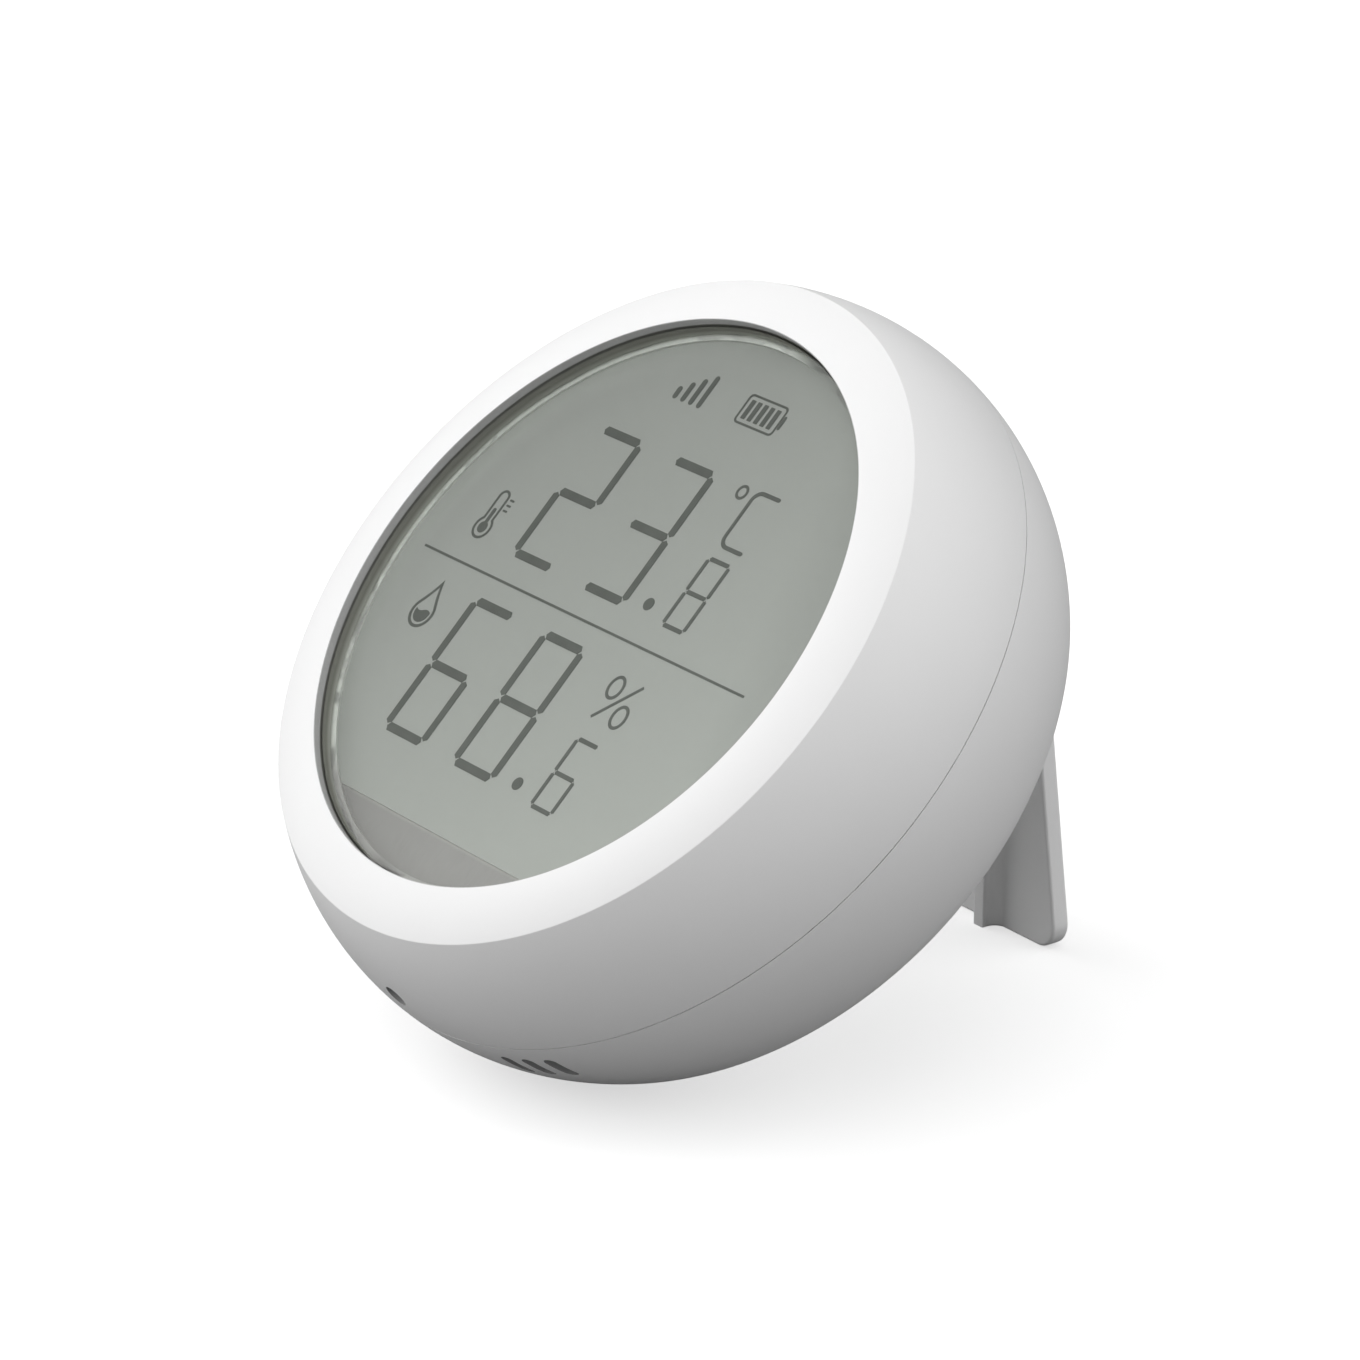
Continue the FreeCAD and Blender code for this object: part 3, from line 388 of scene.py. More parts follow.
def outward(mesh):
    """Faces turned outwards."""
    work = bmesh.new()
    work.from_mesh(mesh)
    bmesh.ops.recalc_face_normals(work, faces=work.faces)
    work.to_mesh(mesh)
    work.free()
    return mesh


def evaluated(thing):
    """The mesh that an object's modifiers give; the object goes."""
    bpy.context.view_layer.update()
    graph = bpy.context.evaluated_depsgraph_get()
    mesh = bpy.data.meshes.new_from_object(thing.evaluated_get(graph))
    bpy.data.objects.remove(thing)
    return mesh


def prism(outline, across, low, high, material=housing_white):
    """A solid between two planes across x, y or z from an outline of the other two."""
    def spot(point, level):
        a, b = point
        return {"x": (level, a, b), "y": (a, level, b), "z": (a, b, level)}[across]
    count = len(outline)
    verts = [spot(point, low) for point in outline] + [spot(point, high) for point in outline]
    faces = [tuple(range(count)), tuple(range(2 * count - 1, count - 1, -1))]
    for number in range(count):
        following = (number + 1) % count
        faces.append((number, following, following + count, number + count))
    mesh = bpy.data.meshes.new("prism")
    mesh.from_pydata(verts, [], faces)
    mesh.materials.append(material)
    return outward(mesh)


def combined(mesh, others, operation):
    """One mesh with others joined to it or cut from it."""
    thing = add_object("whole", mesh)
    tools = []
    for other in others:
        tool = add_object("tool", other)
        modifier = thing.modifiers.new("join", "BOOLEAN")
        modifier.operation = operation
        modifier.solver = "EXACT"
        modifier.material_mode = "TRANSFER"
        modifier.object = tool
        tools.append(tool)
    result = evaluated(thing)
    for tool in tools:
        bpy.data.objects.remove(tool)
    return result


def set_down(name, mesh, material, body):
    """Places a mesh drawn in the device frame and hangs it on its body."""
    mesh.transform(DEVICE)
    if not mesh.materials:
        mesh.materials.append(material)
    mesh.shade_smooth()
    mesh.set_sharp_from_angle(angle=math.radians(SHARP_ANGLE))
    piece = add_object(name, mesh)
    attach(piece, body)
    return piece


# Lathe

def lathe_group():
    """Turns a profile of edges, drawn as radius along x and height along z, round the z axis."""
    group = bpy.data.node_groups.new("lathe", "GeometryNodeTree")
    group.interface.new_socket("Profile", in_out="INPUT", socket_type="NodeSocketGeometry")
    group.interface.new_socket("Steps round", in_out="INPUT", socket_type="NodeSocketInt")
    group.interface.new_socket("Pole distance", in_out="INPUT", socket_type="NodeSocketFloat")
    group.interface.new_socket("Material", in_out="INPUT", socket_type="NodeSocketMaterial")
    group.interface.new_socket("Mesh", in_out="OUTPUT", socket_type="NodeSocketGeometry")
    link = group.links.new
    given = group.nodes.new("NodeGroupInput")
    result = group.nodes.new("NodeGroupOutput")
    profile = group.nodes.new("GeometryNodeMeshToCurve")
    link(given.outputs["Profile"], profile.inputs["Mesh"])
    place = group.nodes.new("GeometryNodeCaptureAttribute")
    place.capture_items.new("VECTOR", "Place")
    link(profile.outputs["Curve"], place.inputs["Geometry"])
    link(group.nodes.new("GeometryNodeInputPosition").outputs["Position"], place.inputs["Place"])
    path = group.nodes.new("GeometryNodeCurvePrimitiveCircle")
    link(given.outputs["Steps round"], path.inputs["Resolution"])
    turn = group.nodes.new("GeometryNodeCaptureAttribute")
    turn.capture_items.new("FLOAT", "Turn")
    link(path.outputs["Curve"], turn.inputs["Geometry"])
    link(group.nodes.new("GeometryNodeSplineParameter").outputs["Factor"], turn.inputs["Turn"])
    sweep = group.nodes.new("GeometryNodeCurveToMesh")
    link(turn.outputs["Geometry"], sweep.inputs["Curve"])
    link(place.outputs["Geometry"], sweep.inputs["Profile Curve"])
    angle = maths(group, "MULTIPLY", turn.outputs["Turn"], 2 * math.pi)
    parts = group.nodes.new("ShaderNodeSeparateXYZ")
    link(place.outputs["Place"], parts.inputs["Vector"])
    spot = group.nodes.new("ShaderNodeCombineXYZ")
    for axis, function in (("X", "COSINE"), ("Y", "SINE")):
        wave = maths(group, function, angle)
        link(maths(group, "MULTIPLY", wave, parts.outputs["X"]), spot.inputs[axis])
    link(parts.outputs["Z"], spot.inputs["Z"])
    move = group.nodes.new("GeometryNodeSetPosition")
    link(sweep.outputs["Mesh"], move.inputs["Geometry"])
    link(spot.outputs["Vector"], move.inputs["Position"])
    merge = group.nodes.new("GeometryNodeMergeByDistance")
    link(move.outputs["Geometry"], merge.inputs["Geometry"])
    link(given.outputs["Pole distance"], merge.inputs["Distance"])
    paint = group.nodes.new("GeometryNodeSetMaterial")
    link(merge.outputs["Geometry"], paint.inputs["Geometry"])
    link(given.outputs["Material"], paint.inputs["Material"])
    link(paint.outputs["Geometry"], result.inputs["Mesh"])
    return group


LATHE = lathe_group()


def turned(name, profile, closed):
    """The mesh that a profile gives when it is turned round the display's axis."""
    mesh = bpy.data.meshes.new(name)
    count = len(profile)
    edges = [(number, (number + 1) % count) for number in range(count if closed else count - 1)]
    mesh.from_pydata([(x, 0, z) for x, z in profile], edges, [])
    thing = add_object(name, mesh)
    modifier = thing.modifiers.new("lathe", "NODES")
    modifier.node_group = LATHE
    values = {"Steps round": ROUND_STEPS, "Pole distance": POLE_DISTANCE, "Material": housing_white}
    for item in LATHE.interface.items_tree:
        if item.in_out == "INPUT" and item.name in values:
            modifier[item.identifier] = values[item.name]
    return outward(evaluated(thing))


# Housing

def ring_profile(lip, crease, side_turn):
    """The crowned ring with the fillets at its lip and at its crease."""
    across = crease[0] - lip[0]
    down = crease[1] - lip[1]
    width = math.hypot(across, down)
    slope = math.degrees(math.atan2(down, across))
    radius = width ** 2 / (8 * RING_CROWN) + RING_CROWN / 2
    half_turn = math.degrees(math.asin(width / 2 / radius))
    middle = (lip[0] + across / 2, lip[1] + down / 2)
    centre = polar(*middle, radius - RING_CROWN, slope - 90)
    start = slope + half_turn
    end = slope - half_turn
    profile = fillet(lip, 90, start, LIP_RADIUS)
    profile += arc(*centre, radius, start + 90 - FILLET_SHARE, end + 90 + FILLET_SHARE, 12)
    return profile + fillet(crease, end, side_turn - 90, CREASE_RADIUS)


def paint_opening(mesh):
    """Gives the wall round the display its own material, which carries painted shade."""
    mesh.materials.append(opening_painted_shade)
    reach = OPENING + LIP_RADIUS + 0.02
    foot = -LIP_DEPTH + 0.01
    for face in mesh.polygons:
        if math.hypot(face.center.x, face.center.y) < reach and face.center.z > foot:
            face.material_index = len(mesh.materials) - 1


def make_front_shell():
    """The display ring and the side of the housing down to the parting line."""
    centre = (MAX_RADIUS - FRONT_ARC, -EQUATOR)
    side_turn = math.degrees(math.asin((EQUATOR - CREASE_DEPTH) / FRONT_ARC))
    lip_turn = math.degrees(math.asin((EQUATOR - LIP_DEPTH) / (FRONT_ARC - WALL)))
    crease = polar(*centre, FRONT_ARC, side_turn)
    profile = ring_profile((OPENING, 0.0), crease, side_turn)
    profile += arc(*centre, FRONT_ARC, side_turn - FILLET_SHARE, 0, 28)
    profile += arc(*centre, FRONT_ARC - WALL, 0, lip_turn, 2)
    profile += [(OPENING, -LIP_DEPTH), (OPENING, -LIP_RADIUS - WALL_MARGIN)]
    mesh = turned("front_shell_skin", profile, True)
    bosses = []
    cuts = []
    for number in range(BOSS_COUNT):
        spot = polar(0, 0, BOSS_CIRCLE, 45 + 360 / BOSS_COUNT * number)
        boss = round_outline(*spot, BOSS_RADIUS)
        pilot = round_outline(*spot, PILOT_RADIUS, 24)
        bosses.append(prism(boss, "z", -PLATE_DEPTH, -LIP_DEPTH + BOSS_SINK))
        cuts.append(prism(pilot, "z", -PLATE_DEPTH - CUT_MARGIN, -PLATE_DEPTH + PILOT_LENGTH))
    # The pin hole's wall takes the recess's painted shade
    cuts.append(prism(round_outline(0, -PIN_HOLE_DEPTH, PIN_HOLE_RADIUS), "y", *FROM_BELOW, recess_painted_shade))
    mesh = combined(mesh, bosses, "UNION")
    mesh = combined(mesh, cuts, "DIFFERENCE")
    paint_opening(mesh)
    piece = set_down("front_shell_skin", mesh, housing_white, "housing")
    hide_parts("front_shell")


def bowl_profile(centre, corner, back):
    """The bowl from the middle of its floor inside, round its collar, to the middle of its back."""
    floor = WALL - back
    rib_front = floor + RIB_HEIGHT
    joint = -EQUATOR - PARTING_GAP
    joint_turn = math.degrees(math.asin(PARTING_GAP / REAR_ARC))
    root = joint - SPIGOT_ROOT
    root_turn = math.degrees(math.asin((ROOT_SLOPE - root - EQUATOR) / (REAR_ARC - WALL)))
    rib_inner = RIB_RADIUS - RIB_WIDTH
    profile = [(0, floor), (rib_inner, floor), (rib_inner, rib_front)]
    profile += [(RIB_RADIUS, rib_front), (RIB_RADIUS, floor)]
    profile += arc(*corner, CORNER_ARC - WALL, -90, -REAR_TURN, 3)
    profile += arc(*centre, REAR_ARC - WALL, -REAR_TURN, -root_turn, 2)[1:]
    profile += [(SPIGOT_INNER, root), (SPIGOT_INNER, -LUG_FRONT), (SPIGOT, -LUG_FRONT), (SPIGOT, joint)]
    profile += arc(*centre, REAR_ARC, -joint_turn, -REAR_TURN, 20)
    profile += arc(*corner, CORNER_ARC, -REAR_TURN, -90, 32)[1:]
    return profile + [(corner[0] - FLAT_MARGIN, -back), (0, -back)]


def make_rear_shell():
    """The bowl with its collar, lugs, vents and the two ears of the stand's hinge."""
    centre = (MAX_RADIUS - REAR_ARC, -EQUATOR)
    corner = polar(*centre, REAR_ARC - CORNER_ARC, -REAR_TURN)
    back = CORNER_ARC - corner[1]
    mesh = turned("rear_shell_skin", bowl_profile(centre, corner, back), False)
    added = []
    lug_outer = (SPIGOT_INNER + SPIGOT) / 2
    for number in range(LUG_COUNT):
        start = 360 / LUG_COUNT * number - LUG_TURN / 2
        end = start + LUG_TURN
        sector = arc(0, 0, LUG_INNER, start, end, 8) + arc(0, 0, lug_outer, end, start, 8)
        added.append(prism(sector, "z", -LUG_BACK, -LUG_FRONT))
    hinge = (HINGE_HEIGHT, -back - HINGE_STANDOFF)
    lean = math.degrees(math.atan2(corner[1] - hinge[1], hinge[0] - corner[0]))
    low = polar(*corner, CORNER_ARC - WALL / 2, EAR_SPREAD - lean)
    high = polar(*corner, CORNER_ARC - WALL / 2, -EAR_SPREAD - lean)
    ear = [low] + arc(*hinge, EAR_RADIUS, 90 - lean, -90 - lean, 28) + [high]
    added.append(prism(ear, "x", EAR_INNER, EAR_OUTER))
    added.append(prism(ear, "x", -EAR_OUTER, -EAR_INNER))
    bore_end = EAR_OUTER + CUT_MARGIN
    cuts = [prism(round_outline(*hinge, PIN_RADIUS, 32), "x", -bore_end, bore_end)]
    for place in VENT_PLACES:
        vent = slot_outline(VENT_X + VENT_PITCH * place, -VENT_DEPTH, VENT_WIDTH, VENT_LENGTH)
        # The vent walls take the recess's painted shade
        cuts.append(prism(vent, "y", *FROM_BELOW, recess_painted_shade))
    mesh = combined(mesh, added, "UNION")
    mesh = combined(mesh, cuts, "DIFFERENCE")
    piece = set_down("rear_shell_skin", mesh, housing_white, "rear_cover")
    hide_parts("rear_shell")


def make_stand_leg():
    """The leg from its own node, welded and smoothed with its flats kept flat."""
    mesh = frame["nodes"]["stand_leg"].data.copy()
    work = bmesh.new()
    work.from_mesh(mesh)
    bmesh.ops.remove_doubles(work, verts=work.verts, dist=WELD_DISTANCE)
    work.to_mesh(mesh)
    work.free()
    outward(mesh)
    mesh.materials.clear()
    mesh.materials.append(stand_white)
    mesh.shade_smooth()
    mesh.set_sharp_from_angle(angle=math.radians(LEG_SHARP_ANGLE))
    thing = add_object("stand_leg_skin", mesh)
    modifier = thing.modifiers.new("normals", "WEIGHTED_NORMAL")
    modifier.keep_sharp = True
    piece = add_object("stand_leg_skin", evaluated(thing))
    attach(piece, "stand")
    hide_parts("stand_leg")


make_front_shell()
make_rear_shell()
make_stand_leg()


# Strokes and outlines of the display signs

# Stroke of a big digit, and what a bar of that stroke leaves free at each end
DIGIT_STROKE = 0.78
BAR_GAP = 0.16

# A bar narrows over a share of half its stroke, and its tip is blunted
BAR_TAPER = 0.62
BLUNT_LENGTH = 0.10
BLUNT_SHARE = 0.36

SEGMENTS = {
    "2": "abged",
    "3": "abgcd",
    "6": "afgedc",
    "8": "abcdefg",
}


def bar(start, end, stroke):
    """A segment with blunt pointed ends, from one corner of the digit to the next."""
    (ax, ay), (bx, by) = start, end
    length = math.hypot(bx - ax, by - ay)
    ux, uy = (bx - ax) / length, (by - ay) / length
    half = stroke / 2
    tip = BAR_GAP * stroke / DIGIT_STROKE
    shoulder = tip + half * BAR_TAPER
    blunt = tip + BLUNT_LENGTH
    near = [(shoulder, 1), (blunt, BLUNT_SHARE), (tip, 0), (blunt, -BLUNT_SHARE), (shoulder, -1)]
    far = [(length - reach, -side) for reach, side in near]
    points = []
    for reach, side in near + far:
        points.append((ax + ux * reach - uy * half * side, ay + uy * reach + ux * half * side))
    return points


def digit(figure, left, top, width, height, stroke):
    """The lit bars of one seven-segment figure, by the middle lines of its outer bars."""
    right = left + width
    middle = top - height / 2
    bottom = top - height
    ends = {
        "a": ((left, top), (right, top)),
        "b": ((right, top), (right, middle)),
        "c": ((right, middle), (right, bottom)),
        "d": ((left, bottom), (right, bottom)),
        "e": ((left, middle), (left, bottom)),
        "f": ((left, top), (left, middle)),
        "g": ((left, middle), (right, middle)),
    }
    return [bar(*ends[name], stroke) for name in SEGMENTS[figure]]


def oval(x, y, across, upright, steps=40):
    """An ellipse by its half widths."""
    points = []
    for step in range(steps):
        turn = 2 * math.pi * step / steps
        points.append((x + across * math.cos(turn), y + upright * math.sin(turn)))
    return points


def ring(x, y, across, upright, stroke):
    """An open oval, by the middle line of its stroke."""
    half = stroke / 2
    return [oval(x, y, across + half, upright + half), oval(x, y, across - half, upright - half)]


def cap(middle, side, radius, steps):
    """The points of a round end from one side of a stroke to the other, without its two corners."""
    if not steps:
        return []
    turn = math.degrees(math.atan2(side[1] - middle[1], side[0] - middle[0]))
    return arc(*middle, radius, turn, turn - 180, steps)[1:-1]


def line(path, stroke, caps=8):
    """A stroke along a path, with round ends where caps isn't 0."""
    half = stroke / 2
    left = []
    right = []
    for number, (x, y) in enumerate(path):
        before = path[max(number - 1, 0)]
        after = path[min(number + 1, len(path) - 1)]
        dx, dy = after[0] - before[0], after[1] - before[1]
        length = math.hypot(dx, dy)
        dx, dy = dx / length, dy / length
        left.append((x - dy * half, y + dx * half))
        right.append((x + dy * half, y - dx * half))
    end = cap(path[-1], left[-1], half, caps)
    start = cap(path[0], right[0], half, caps)
    return left + end + right[::-1] + start


def box_outline(x_low, x_high, y_low, y_high, radius):
    """A box with round corners."""
    middles = (
        (x_high - radius, y_high - radius),
        (x_low + radius, y_high - radius),
        (x_low + radius, y_low + radius),
        (x_high - radius, y_low + radius),
    )
    points = []
    for number, middle in enumerate(middles):
        points += arc(*middle, radius, 90 * number, 90 * number + 90, 5)
    return points


def keyhole(x, y, radius, half, top):
    """A bulb with a round-topped stem."""
    neck = math.degrees(math.asin(half / radius))
    return arc(x, y, radius, 90 - neck, -270 + neck, 28) + arc(x, top - half, half, 180, 0, 10)


def drop_outline(x, y, radius, apex):
    """A drop: a circle drawn out to a point above it, its sides a little hollow."""
    turn = math.degrees(math.asin(radius / (apex - y)))
    circle = arc(x, y, radius, turn, -180 - turn, 36)
    foot = circle[-1]
    hollow = 0.07 * radius
    left = []
    for share in (0.2, 0.4, 0.6, 0.8):
        inward = hollow * math.sin(math.pi * share)
        left.append((foot[0] + (x - foot[0]) * share + inward, foot[1] + (apex - foot[1]) * share))
    right = [(2 * x - across, up) for across, up in reversed(left)]
    return circle + left + [(x, apex)] + right


# Display signs, seen from the front

def figures():
    """The two readings: two big digits, a point and a small digit each."""
    big_size = (5.22, 12.46, DIGIT_STROKE)
    small_size = (2.74, 6.4, DIGIT_STROKE / 2)
    point_radius = 0.57
    upper = 14.05
    lower = -3.42
    big = (("2", -13.07, upper), ("3", -3.03, upper), ("6", -13.4, lower), ("8", -3.42, lower))
    small = (("8", 7.87, 7.79), ("6", 7.72, -9.8))
    loops = []
    for figure, left, top in big:
        loops += digit(figure, left, top, *big_size)
    for figure, left, top in small:
        loops += digit(figure, left, top, *small_size)
    for x, y in ((5.05, 2.37), (4.86, -15.2)):
        loops.append(oval(x, y, point_radius, point_radius))
    return loops


def celsius_sign():
    """A small ring and a hook with two round corners, open to the right."""
    top = 14.33
    bottom = 9.1
    tip = 10.75
    bend = 9.6
    middle = 8.75
    radius = 0.88
    hook = [(tip, top), (bend, top)] + arc(middle, top - radius, radius, 90, 180, 8)
    hook += arc(middle, bottom + radius, radius, 180, 270, 8) + [(bend, bottom), (tip, bottom)]
    return ring(6.37, 13.78, 0.54, 0.56, 0.26) + [line(hook, 0.37, 4)]


def percent_sign():
    """Two small ovals and a slash."""
    across = 0.78
    upright = 0.97
    stroke = 0.29
    slash_stroke = 0.28
    loops = []
    for x, y in ((7.82, -4.84), (10.3, -6.88)):
        loops += ring(x, y, across, upright, stroke)
    loops.append(line([(7.38, -7.78), (10.7, -3.88)], slash_stroke, 0))
    return loops


def signal_sign():
    """Four upright bars, each taller than the one before it."""
    foot = 19.0
    half = 0.28
    loops = []
    for left, top in ((-8.27, 19.94), (-7.18, 20.64), (-6.1, 21.29), (-5.01, 21.9)):
        loops.append(line([(left + half, foot), (left + half, top - half)], 2 * half))
    return loops


def battery_sign():
    """A battery lying on its side with five bars in it."""
    length = 5.14
    bottom = 18.85
    top = 21.68
    stroke = 0.2
    nub = (5.2, 5.5, 19.6, 20.9)
    bar_width = 0.52
    bar_margin = 0.5
    loops = [
        box_outline(0, length, bottom, top, 0.45),
        box_outline(stroke, length - stroke, bottom + stroke, top - stroke, 0.3),
        box_outline(*nub, 0.12),
    ]
    for left in (0.57, 1.4, 2.26, 3.12, 3.96):
        loops.append(box_outline(left, left + bar_width, bottom + bar_margin, top - bar_margin, 0.08))
    return loops


def thermometer_sign():
    """A bulb and stem as an outline, a filling and three marks beside it."""
    x = -18.6
    y = 2.33
    bulb = 1.11
    half_stem = 0.7
    top = 6.04
    stroke = 0.24
    mark_left = -17.56
    mark_right = -17.16
    loops = [
        keyhole(x, y, bulb, half_stem, top),
        keyhole(x, y, bulb - stroke, half_stem - stroke, top - stroke),
        keyhole(x, y, 0.55, 0.2, 4.25),
    ]
    for mark in (5.35, 4.83, 4.31):
        loops.append(line([(mark_left, mark), (mark_right, mark)], 0.2, 4))
    return loops


def drop_sign():
    """A drop as an outline, part filled, with a wave on its surface."""
    x = -18.4
    y = -6.27
    loops = [drop_outline(x, y, 1.46, -3.07), drop_outline(x, y, 1.18, -3.72)]
    water_radius = 0.95
    water_top = -6.1
    water = [point for point in oval(x, y, water_radius, water_radius, 48) if point[1] < water_top]
    water = sorted(water, key=lambda point: math.atan2(point[0] - x, y - point[1]))
    reach = 0.94
    surface = -6.08
    swell = 0.14
    for step in range(11):
        share = step / 10
        water.append((x + reach - 2 * reach * share, surface + swell * math.sin(2 * math.pi * share)))
    return loops + [water]


def sign_loops():
    """Outlines of all the signs. A loop inside another is a hole, and one inside the hole is filled."""
    divider = line([(-23.5, -1.09), (21.2, -1.09)], 0.22, 0)
    loops = figures() + celsius_sign() + [divider] + percent_sign()
    return loops + signal_sign() + battery_sign() + thermometer_sign() + drop_sign()


def painted_display_light(tree):
    """Painted light and shade on the reflector behind the display, as a factor.

    It grows from the upper left to the lower right as a painted light gradient, grows towards the far rim as
    painted light, and drops a little at the near rim as a painted shadow.
    """
    lower_right = RIGHT * 0.62 - UP * 0.78
    far_side = RIGHT * -0.92 + UP * 0.39
    near_side = RIGHT * 0.966 + UP * 0.259
    far_rim_painted_light = 0.5
    near_rim_painted_shade = 0.12
    # Painted light: a gradient from the upper left to the lower right
    slope = ranged(tree, along(tree, lower_right), -0.026, 0.026, 0.81, 1.2)
    radius = radius_of(tree)
    # Painted light towards the far rim, against the shadow of the rim
    rim = ranged(tree, radius, 0.022, 0.0255)
    rim = maths(tree, "MULTIPLY", rim, rim)
    far = ranged(tree, maths(tree, "DIVIDE", along(tree, far_side), radius), 0.375, 1.0)
    lift = maths(tree, "MULTIPLY", maths(tree, "MULTIPLY", rim, far), far_rim_painted_light)
    # Painted shadow of the near rim
    near = ranged(tree, along(tree, near_side), 0.018, 0.0245, 0.0, near_rim_painted_shade)
    edge = maths(tree, "SUBTRACT", maths(tree, "ADD", lift, 1.0), near)
    return maths(tree, "MULTIPLY", slope, edge)


def segment_ink():
    """The dark grey-green of a switched segment, a little uneven."""
    material, tree, shader = new_material("segment_ink")
    ink = blend(tree, grain(tree, 600, 3.0), (0.116, 0.12, 0.113), (0.128, 0.132, 0.125))
    # The ink takes the display's painted light and shade
    tree.links.new(scaled(tree, ink, painted_display_light(tree)), shader.inputs["Base Color"])
    shader.inputs["Roughness"].default_value = 0.6
    shader.inputs["Specular IOR Level"].default_value = 0.1
    return material


def make_signs():
    """The dark signs of the display as thin plates on the film."""
    half_thickness = 0.012
    lift = 0.014
    data = bpy.data.curves.new("signs", "CURVE")
    data.dimensions = "2D"
    data.fill_mode = "BOTH"
    data.extrude = half_thickness
    for loop in sign_loops():
        spline = data.splines.new("POLY")
        spline.points.add(len(loop) - 1)
        for point, (x, y) in zip(spline.points, loop):
            point.co = (x, y, 0, 1)
        spline.use_cyclic_u = True
    mesh = evaluated(add_object("signs", data))
    mesh.transform(Matrix.Translation((0, 0, -LIP_DEPTH + lift)))
    set_down("display_signs", mesh, segment_ink(), "housing")


make_signs()


# Materials of the carried nodes

def window_clear():
    """Clear polished acrylic whose turned side wall is dull, with painted shade that makes it much darker than its
    faces and painted light that makes it paler at its foot.
    """
    material = bpy.data.materials.new("window_clear")
    material.use_nodes = True
    tree = material.node_tree
    tree.nodes.clear()
    output = node(tree, "ShaderNodeOutputMaterial")
    clear = node(tree, "ShaderNodeBsdfTransparent")
    clear.inputs["Color"].default_value = (0.97, 0.98, 0.97, 1)
    shine = node(tree, "ShaderNodeBsdfGlossy")
    spread(tree, shine, "Roughness", grain(tree, 220, 3.0), 0.02, 0.06)
    fresnel = node(tree, "ShaderNodeFresnel", IOR=1.4)
    # Only the outer side of a face shines
    normal = node(tree, "ShaderNodeNewGeometry")
    front = maths(tree, "SUBTRACT", 1.0, normal.outputs["Backfacing"])
    face = node(tree, "ShaderNodeMixShader")
    tree.links.new(maths(tree, "MULTIPLY", fresnel.outputs["Fac"], front), face.inputs["Fac"])
    tree.links.new(clear.outputs["BSDF"], face.inputs[1])
    tree.links.new(shine.outputs["BSDF"], face.inputs[2])
    side = node(tree, "ShaderNodeBsdfDiffuse")
    # Painted shade on the side wall, paler towards its foot as painted light
    above = ranged(tree, along(tree, OUT), -0.0019, -0.0014)
    painted_light_foot = (0.46, 0.47, 0.43)
    painted_shade_wall = (0.25, 0.25, 0.225)
    tree.links.new(mixed_colour(tree, above, painted_light_foot, painted_shade_wall), side.inputs["Color"])
    whole = node(tree, "ShaderNodeMixShader")
    tree.links.new(edge_of(tree), whole.inputs["Fac"])
    tree.links.new(face.outputs["Shader"], whole.inputs[1])
    tree.links.new(side.outputs["BSDF"], whole.inputs[2])
    tree.links.new(whole.outputs["Shader"], output.inputs["Surface"])
    return material


def film(name, colour):
    """A display film with a faint anti-glare grain, painted light and shade across its face, and a pale cut edge
    with a painted glow.
    """
    material, tree, shader = new_material(name)
    fine = grain(tree, 5200)
    # The face takes the display's painted light and shade
    face = scaled(tree, blend(tree, fine, shade(colour, 0.96), colour), painted_display_light(tree))
    edge = edge_of(tree)
    cut_edge = (0.55, 0.56, 0.54)
    tree.links.new(mixed_colour(tree, edge, face, cut_edge), shader.inputs["Base Color"])
    # The cut edge glows faintly: painted light that lifts the shade on it
    shader.inputs["Emission Color"].default_value = (0.16, 0.16, 0.155, 1)
    tree.links.new(edge, shader.inputs["Emission Strength"])
    spread(tree, shader, "Roughness", fine, 0.5, 0.62)
    shader.inputs["Specular IOR Level"].default_value = 0.25
    return material


def foam_tape():
    """The tape under the window, pale at its inner edge as a painted highlight of the display's light.

    On the side nearer to the photo's view its face looks like the film beside it, and where it
    lies on the display's ledge it looks like the glass.
    """
    material, tree, shader = new_material("tape_grey")
    fine = grain(tree, 2400, 3.0)
    radius = radius_of(tree)
    foam = (0.4, 0.405, 0.37)
    # Painted highlight: the inner edge pales into a bright line
    painted_highlight_foam = (0.84, 0.86, 0.82)
    inner = ranged(tree, radius, 0.02635, 0.02605)
    lower_left = RIGHT * -0.82 - UP * 0.57
    # Painted light: the face grows lighter towards the lower left, against the rim's shade
    lower = ranged(tree, along(tree, lower_left), 0.015, 0.024, 0.85, 0.93)
    face = scaled(tree, mixed_colour(tree, inner, foam, painted_highlight_foam), lower)
    plain = node(tree, "ShaderNodeRGB")
    plain.outputs["Color"].default_value = (0.38, 0.385, 0.37, 1)
    # On the near side the face copies the film's painted light and shade
    like_film = scaled(tree, plain.outputs["Color"], painted_display_light(tree))
    far_side = RIGHT * -0.983 + UP * 0.182
    far = ranged(tree, maths(tree, "DIVIDE", along(tree, far_side), radius), 0.02, 0.15)
    face = mixed_colour(tree, far, like_film, face)
    # Painted light: on the ledge the face and wall are drawn lighter against the rim's shade, and elsewhere the
    # inner wall is drawn pale against the shade under the window
    above_ledge = ranged(tree, along(tree, UP), -0.0215, -0.0195)
    face = mixed_colour(tree, above_ledge, (0.48, 0.47, 0.465), face)
    wall = mixed_colour(tree, above_ledge, (0.6, 0.59, 0.58), (0.72, 0.73, 0.7))
    colour = mixed_colour(tree, edge_of(tree), face, wall)
    speck = ranged(tree, fine, 0.3, 0.7, 0.94, 1.0)
    tree.links.new(scaled(tree, colour, speck), shader.inputs["Base Color"])
    spread(tree, shader, "Roughness", fine, 0.6, 0.8)
    shader.inputs["Specular IOR Level"].default_value = 0.2
    return material


